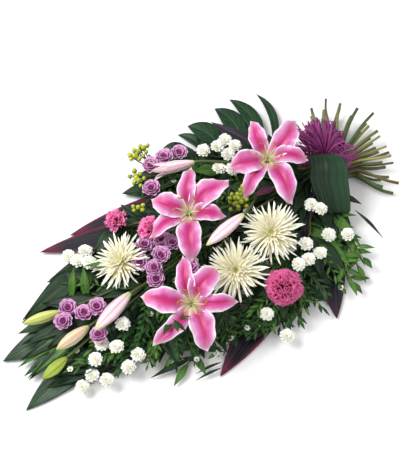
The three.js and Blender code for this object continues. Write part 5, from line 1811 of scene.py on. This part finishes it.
# Leaves set one by one: tip, half-width, look, and a root or how far back the stem is sought
SINGLE_LEAVES = [
    ([0.9, 716, 10], 15, 1, 120),
    ([-1.4, 712, 12], 15, 1, 130),
    ([7.4, 664, 12], 24, 0, 170),
    ([12.2, 587, 14], 17, 0, 130),
    ([9.6, 522, 66], 6, 1, 60),
    ([8.2, 512, 70], 6, 1, 58),
    ([28.3, 264, 78], 14, 1, 60),
    ([30.5, 296, 70], 11, 1, 56),
    ([-45.4, 311, 12], 15, 0, 110),
    ([-25.7, 434, 14], 6, 0, [-19.9, 455, 18]),
    ([-22.4, 470, 12], 5, 0, [-18.4, 486, 14]),
    ([-15.7, 549, 8], 6, 0, [-20, 478, 14]),
    ([-22.7, 495, 8], 2.6, 0, [-26.4, 452, 10]),
    ([-23.4, 506, 7], 2.6, 0, [-27, 462, 9]),
    ([-16.9, 531, 8], 5, 1, [-16.5, 478, 22]),
    ([-89.6, 182, 14], 3.4, 0, [-84, 108, 26]),
    ([-91, 108, 38], 7, 0, [-70, 72, 40]),
    ([-72.6, 189, 34], 9, 1, 66),
    ([-71.1, 223, 26], 9, 1, 66),
    ([-63.6, 250, 20], 8, 1, 62),
    ([-63, 209, 36], 9, 1, 62),
    ([-59.3, 187, 38], 8, 1, 56),
    ([-67.8, 172, 32], 8, 1, 56),
    ([-54.7, 244, 24], 8, 1, 60),
    ([-64.3, 224, 30], 8, 1, 60),
    ([-58.6, 229, 32], 8, 1, 60),
    ([5.1, 170, 70], 9, 2, 56),
    ([10.6, 539, 60], 7, 1, [5.6, 571, 22]),
    ([9.8, 523, 60], 9, 1, [4.1, 544, 22]),
    ([3.6, 535, 40], 18, 0, [0.4, 437, 44]),
    ([11.9, 593, 16], 15, 0, [8.4, 505, 24]),
]
# Leafy twigs: root, tip, how many leaves, their length, half-width and look
LEAFY_TWIGS = [
    ([-58, 130, 40], [-63.6, 246, 18], 13, 38, 5.5, 3),
    ([-66, 120, 40], [-71.5, 205, 28], 10, 36, 5.5, 3),
    ([-22, 448, 26], [-15.8, 476, 150], 9, 40, 5, 0),
]


def outline_at(reach):
    """The outermost angles of the bed at a reach"""
    sides = BED_OUTLINE["low"], BED_OUTLINE["high"]
    return [np.interp(reach, BED_OUTLINE["reach"], side) for side in sides]


def spread_over_bed(count, low_share, high_share, nearest=90, farthest=715):
    """Places spread evenly over the bed: the share of its width, and its reach"""
    reaches = np.linspace(nearest, farthest, 400)
    sides = np.array([outline_at(reach) for reach in reaches])
    weight = np.cumsum((sides[:, 1] - sides[:, 0]) * reaches)
    for k in range(count):
        reach = np.interp((k + 0.5) / count, weight / weight[-1], reaches)
        low, high = outline_at(reach)
        yield lerp(low, high, lerp(low_share, high_share, (GOLDEN_SHARE * k) % 1)), reach


def on_stems(stems, point):
    """The nearest point of any stem, where height counts double"""
    feet = [stem.nearest(point) for stem in stems]
    return min(feet, key=lambda foot: np.linalg.norm((foot - point) * [1, 1, 2]))


def clear_of_heads(foot, to, half=0, droop=0):
    """Whether a leaf keeps away from the small flowers and doesn't lie over one"""
    share = LEAF_SHARES
    along = lerp(foot, to, share) + 3 * droop * share * (1 - share) * UP
    gaps = along[:, None] - np.array(HEADS)
    gaps[..., 2] = np.minimum(gaps[..., 2], 0)
    return np.linalg.norm(gaps, axis=2).min() > HEAD_ROOM + 0.4 * half


def bed_leaf(skin, foot, tip, half, shade, droop):
    """A dark leaf, partly painted shade, that is lowered until it keeps off the small flowers, or else left
    out
    """
    for height in (tip[2], 0.5 * tip[2], 3):
        to = np.array([tip[0], tip[1], height])
        if clear_of_heads(foot, to, half, droop):
            leaflet(skin, foot, to, half, shade, 0, droop, steps=9, columns=5)
            break


def bed_leaves(stems):
    draw = seeded(404)
    skin = Skin()
    for angle, reach in spread_over_bed(BED_LEAVES, 0, 1):
        tip = place([angle, reach, draw(4, 34)])
        ahead = turned(unit(tip * LEVEL), UP, draw(-38, 38))
        foot = on_stems(stems, tip - draw(42, 78) * ahead + draw(0, 12) * UP)
        foot = raised(foot, 0, 4)
        half = np.clip(0.2 * np.linalg.norm(tip - foot) * draw(0.8, 1.2), 8, 20)
        shade, droop = draw(), draw(2, 12)
        bed_leaf(skin, foot, tip, half, shade, droop)
    # Collar leaves by the tie, laid dark over the stems there: leaves, and also painted shade
    for k in range(COLLAR_LEAVES):
        turn = lerp(-62, 58, (GOLDEN_SHARE * k) % 1)
        foot = on_stems(stems, place([0.6 * turn, draw(34, 70), draw(24, 46)]))
        tip = place([turn, draw(95, 190), draw(28, 58)])
        bed_leaf(skin, foot, tip, draw(9, 15), draw(), draw(4, 12))
    for spot, half, look, start in SINGLE_LEAVES:
        tip = place(spot)
        if isinstance(start, list):
            foot = place(start)
        else:
            foot = on_stems(stems, tip - start * unit(tip * [1, 1, 0.12]))
        leaflet(skin, foot, tip, half, 0.8, look, droop=8)
    skin.settle("bed_leaves", [BED_LEAF_AND_SHADE, LEAFLET, PLUM_LEAF], "leaf", 0.5)


def tiny_flower(skin, bloom, draw):
    for ring in TINY_RINGS:
        petal_ring(skin, bloom, draw, *ring)


def sprig(skin, root, tip, draw, leaves, length, half, look):
    """A thin twig with small leaves on both sides and one at its tip"""
    rise = 8 * UP
    line = bezier(root, lerp(root, tip, 0.3) + rise, lerp(root, tip, 0.7) + rise, tip, 8)
    skin.tube(line, np.linspace(0.9, 0.5, len(line)), 5, draw(), 1)
    twig = Route(line)
    for k in range(leaves):
        share = lerp(0.15, 1, k / (leaves - 1))
        foot = twig.point(share)
        side = 0 if k == leaves - 1 else (1 if k % 2 else -1) * draw(22, 60)
        level = unit(twig.heading(share) * [1, 1, 0.3])
        to = foot + length * draw(0.7, 1.3) * (turned(level, UP, side) + draw(-0.3, 0.3) * UP)
        to = raised(to, 0, LOWEST_TIP)
        wide, shade = half * draw(0.7, 1.3), draw()
        if clear_of_heads(foot, to):
            leaflet(skin, foot, to, wide, shade, look, 1.5, steps=5, columns=3)


def sprigs(stems):
    draw = seeded(505)
    skin = Skin()
    lower = spread_over_bed(LOWER_SPRIGS, 0, 0.4, nearest=260, farthest=660)
    others = spread_over_bed(OTHER_SPRIGS, 0.4, 1, nearest=200, farthest=560)
    for k, (angle, reach) in enumerate([*lower, *others]):
        tip = place([angle, reach, draw(10, 52)])
        back = tip - turned(unit(tip * LEVEL), UP, draw(-30, 30)) * draw(50, 90) - 8 * UP
        sprig(skin, on_stems(stems, back), tip, draw, 12, 18, 3, 3 if k % 3 == 0 else 0)
        if k % 4 == 0 and clear_of_heads(tip, tip):
            tiny_flower(skin, Bloom(tip, facing([draw(0, 30), draw(0, 360)])), draw)
    for root, tip, *leaves in LEAFY_TWIGS:
        sprig(skin, on_stems(stems, place(root)), place(tip), draw, *leaves)
    skin.settle("bed_sprigs", [SPRIG_LEAF, TWIG, WHITE, LEAFLET], "leaflet", 0.4)


# Floor, light and camera
VIEW_AZIMUTH = math.radians(-36)
VIEW_ELEVATION = math.radians(64)
VIEW_DISTANCE = 2.2
TIE_HEIGHT = 0.02
TIE_ASIDE = 0.25
TIE_ABOVE = 0.127
LENS = 84.8
LIGHTS_AIM = (-0.3, 0, 0)
FLOOR_SIZE = 12


def stage_floor():
    bpy.ops.mesh.primitive_plane_add(size=FLOOR_SIZE)
    floor = bpy.context.object
    floor.name = "studio_floor"
    look = bpy.data.materials.new("studio floor")
    look.use_nodes = True
    inputs = {"Base Color": (0.93, 0.93, 0.93, 1), "Roughness": 0.9, "Specular IOR Level": 0.1}
    Nodes(look.node_tree).fill(look.node_tree.nodes["Principled BSDF"], inputs)
    floor.data.materials.append(look)
    floor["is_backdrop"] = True


def soft_light(name, energy, size, place_at):
    data = bpy.data.lights.new(name, "AREA")
    data.energy = energy
    data.size = size
    lamp = bpy.data.objects.new(name, data)
    bpy.context.scene.collection.objects.link(lamp)
    lamp.location = place_at
    aim = np.array(LIGHTS_AIM) - np.array(place_at)
    lamp.rotation_mode = "QUATERNION"
    lamp.rotation_quaternion = Vector(aim).to_track_quat("-Z", "Y")


def studio():
    stage_floor()
    soft_light("key_light", 92, 1.6, (-1.6, 1.2, 2.6))
    soft_light("fill_light", 34, 3.0, (1.4, -1.8, 2.4))
    world = bpy.data.worlds.new("studio")
    world.use_nodes = True
    sky = {"Color": (1, 1, 1, 1), "Strength": 0.6}
    Nodes(world.node_tree).fill(world.node_tree.nodes["Background"], sky)
    bpy.context.scene.world = world
    bpy.context.scene.view_settings.view_transform = "Standard"


def camera():
    level = math.cos(VIEW_ELEVATION)
    right = level_way(VIEW_AZIMUTH)
    back = np.array([right[1] * level, -right[0] * level, math.sin(VIEW_ELEVATION)])
    above = np.cross(back, right)
    tie = np.array([0, 0, TIE_HEIGHT])
    data = bpy.data.cameras.new("view")
    data.sensor_width = 36
    data.lens = LENS
    view = bpy.data.objects.new("view", data)
    bpy.context.scene.collection.objects.link(view)
    view.location = tie + VIEW_DISTANCE * back - TIE_ASIDE * right - TIE_ABOVE * above
    view.rotation_euler = (math.pi / 2 - VIEW_ELEVATION, 0, VIEW_AZIMUTH)
    bpy.context.scene.camera = view


binding_tie()
raffia_bow()
for number, lily_name in enumerate(LILIES):
    lily(number, lily_name)
for bud_name in BUDS:
    bud(bud_name, *BUD_LOOKS.get(bud_name, (BUD_PINK, "bud_pink")))
for number, mum_name in enumerate(MUMS):
    mum(number, mum_name)
for number, carnation_name in enumerate(CARNATIONS):
    carnation(number, carnation_name)
stems = list(bloom_stems())
loop_leaf()
cut_leaf()
for number, leaf_name in enumerate(CORDYLINES):
    cordyline(leaf_name, 11 + number)
for leaf_name in TIP_LEAVES:
    tip_leaves(leaf_name)
for sprays, flower, depth, apex, looks, slot_name, sheet in [
    (MAUVE_SPRAYS, mauve_flower, 9, 5.6, [MAUVE, MAUVE_HEART], "mauve_bloom", 0.35),
    (WHITE_SPRAYS, white_flower, 8, 5.6, [WHITE, WHITE_HEART], "white_bloom", 0.35),
    (BERRY_SPRAYS, berry_fruit, 5, 6.25, [BERRY, TWIG], "berry", 0),
]:
    for spray_name, (spray_slot, spots) in sprays.items():
        stems.append(spray(spray_name, spray_slot, spots, flower, depth, apex, looks, slot_name, sheet))
for number, spray_name in enumerate(LEAFY_SPRAYS):
    leafy_spray(spray_name, 91 + number)
bed_leaves(stems)
sprigs(stems)
studio()
camera()

size_at_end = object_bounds()
sizes = {"start": size_at_start, "end": size_at_end}
{key: [list(map(float, corner)) for corner in box] for key, box in sizes.items()}
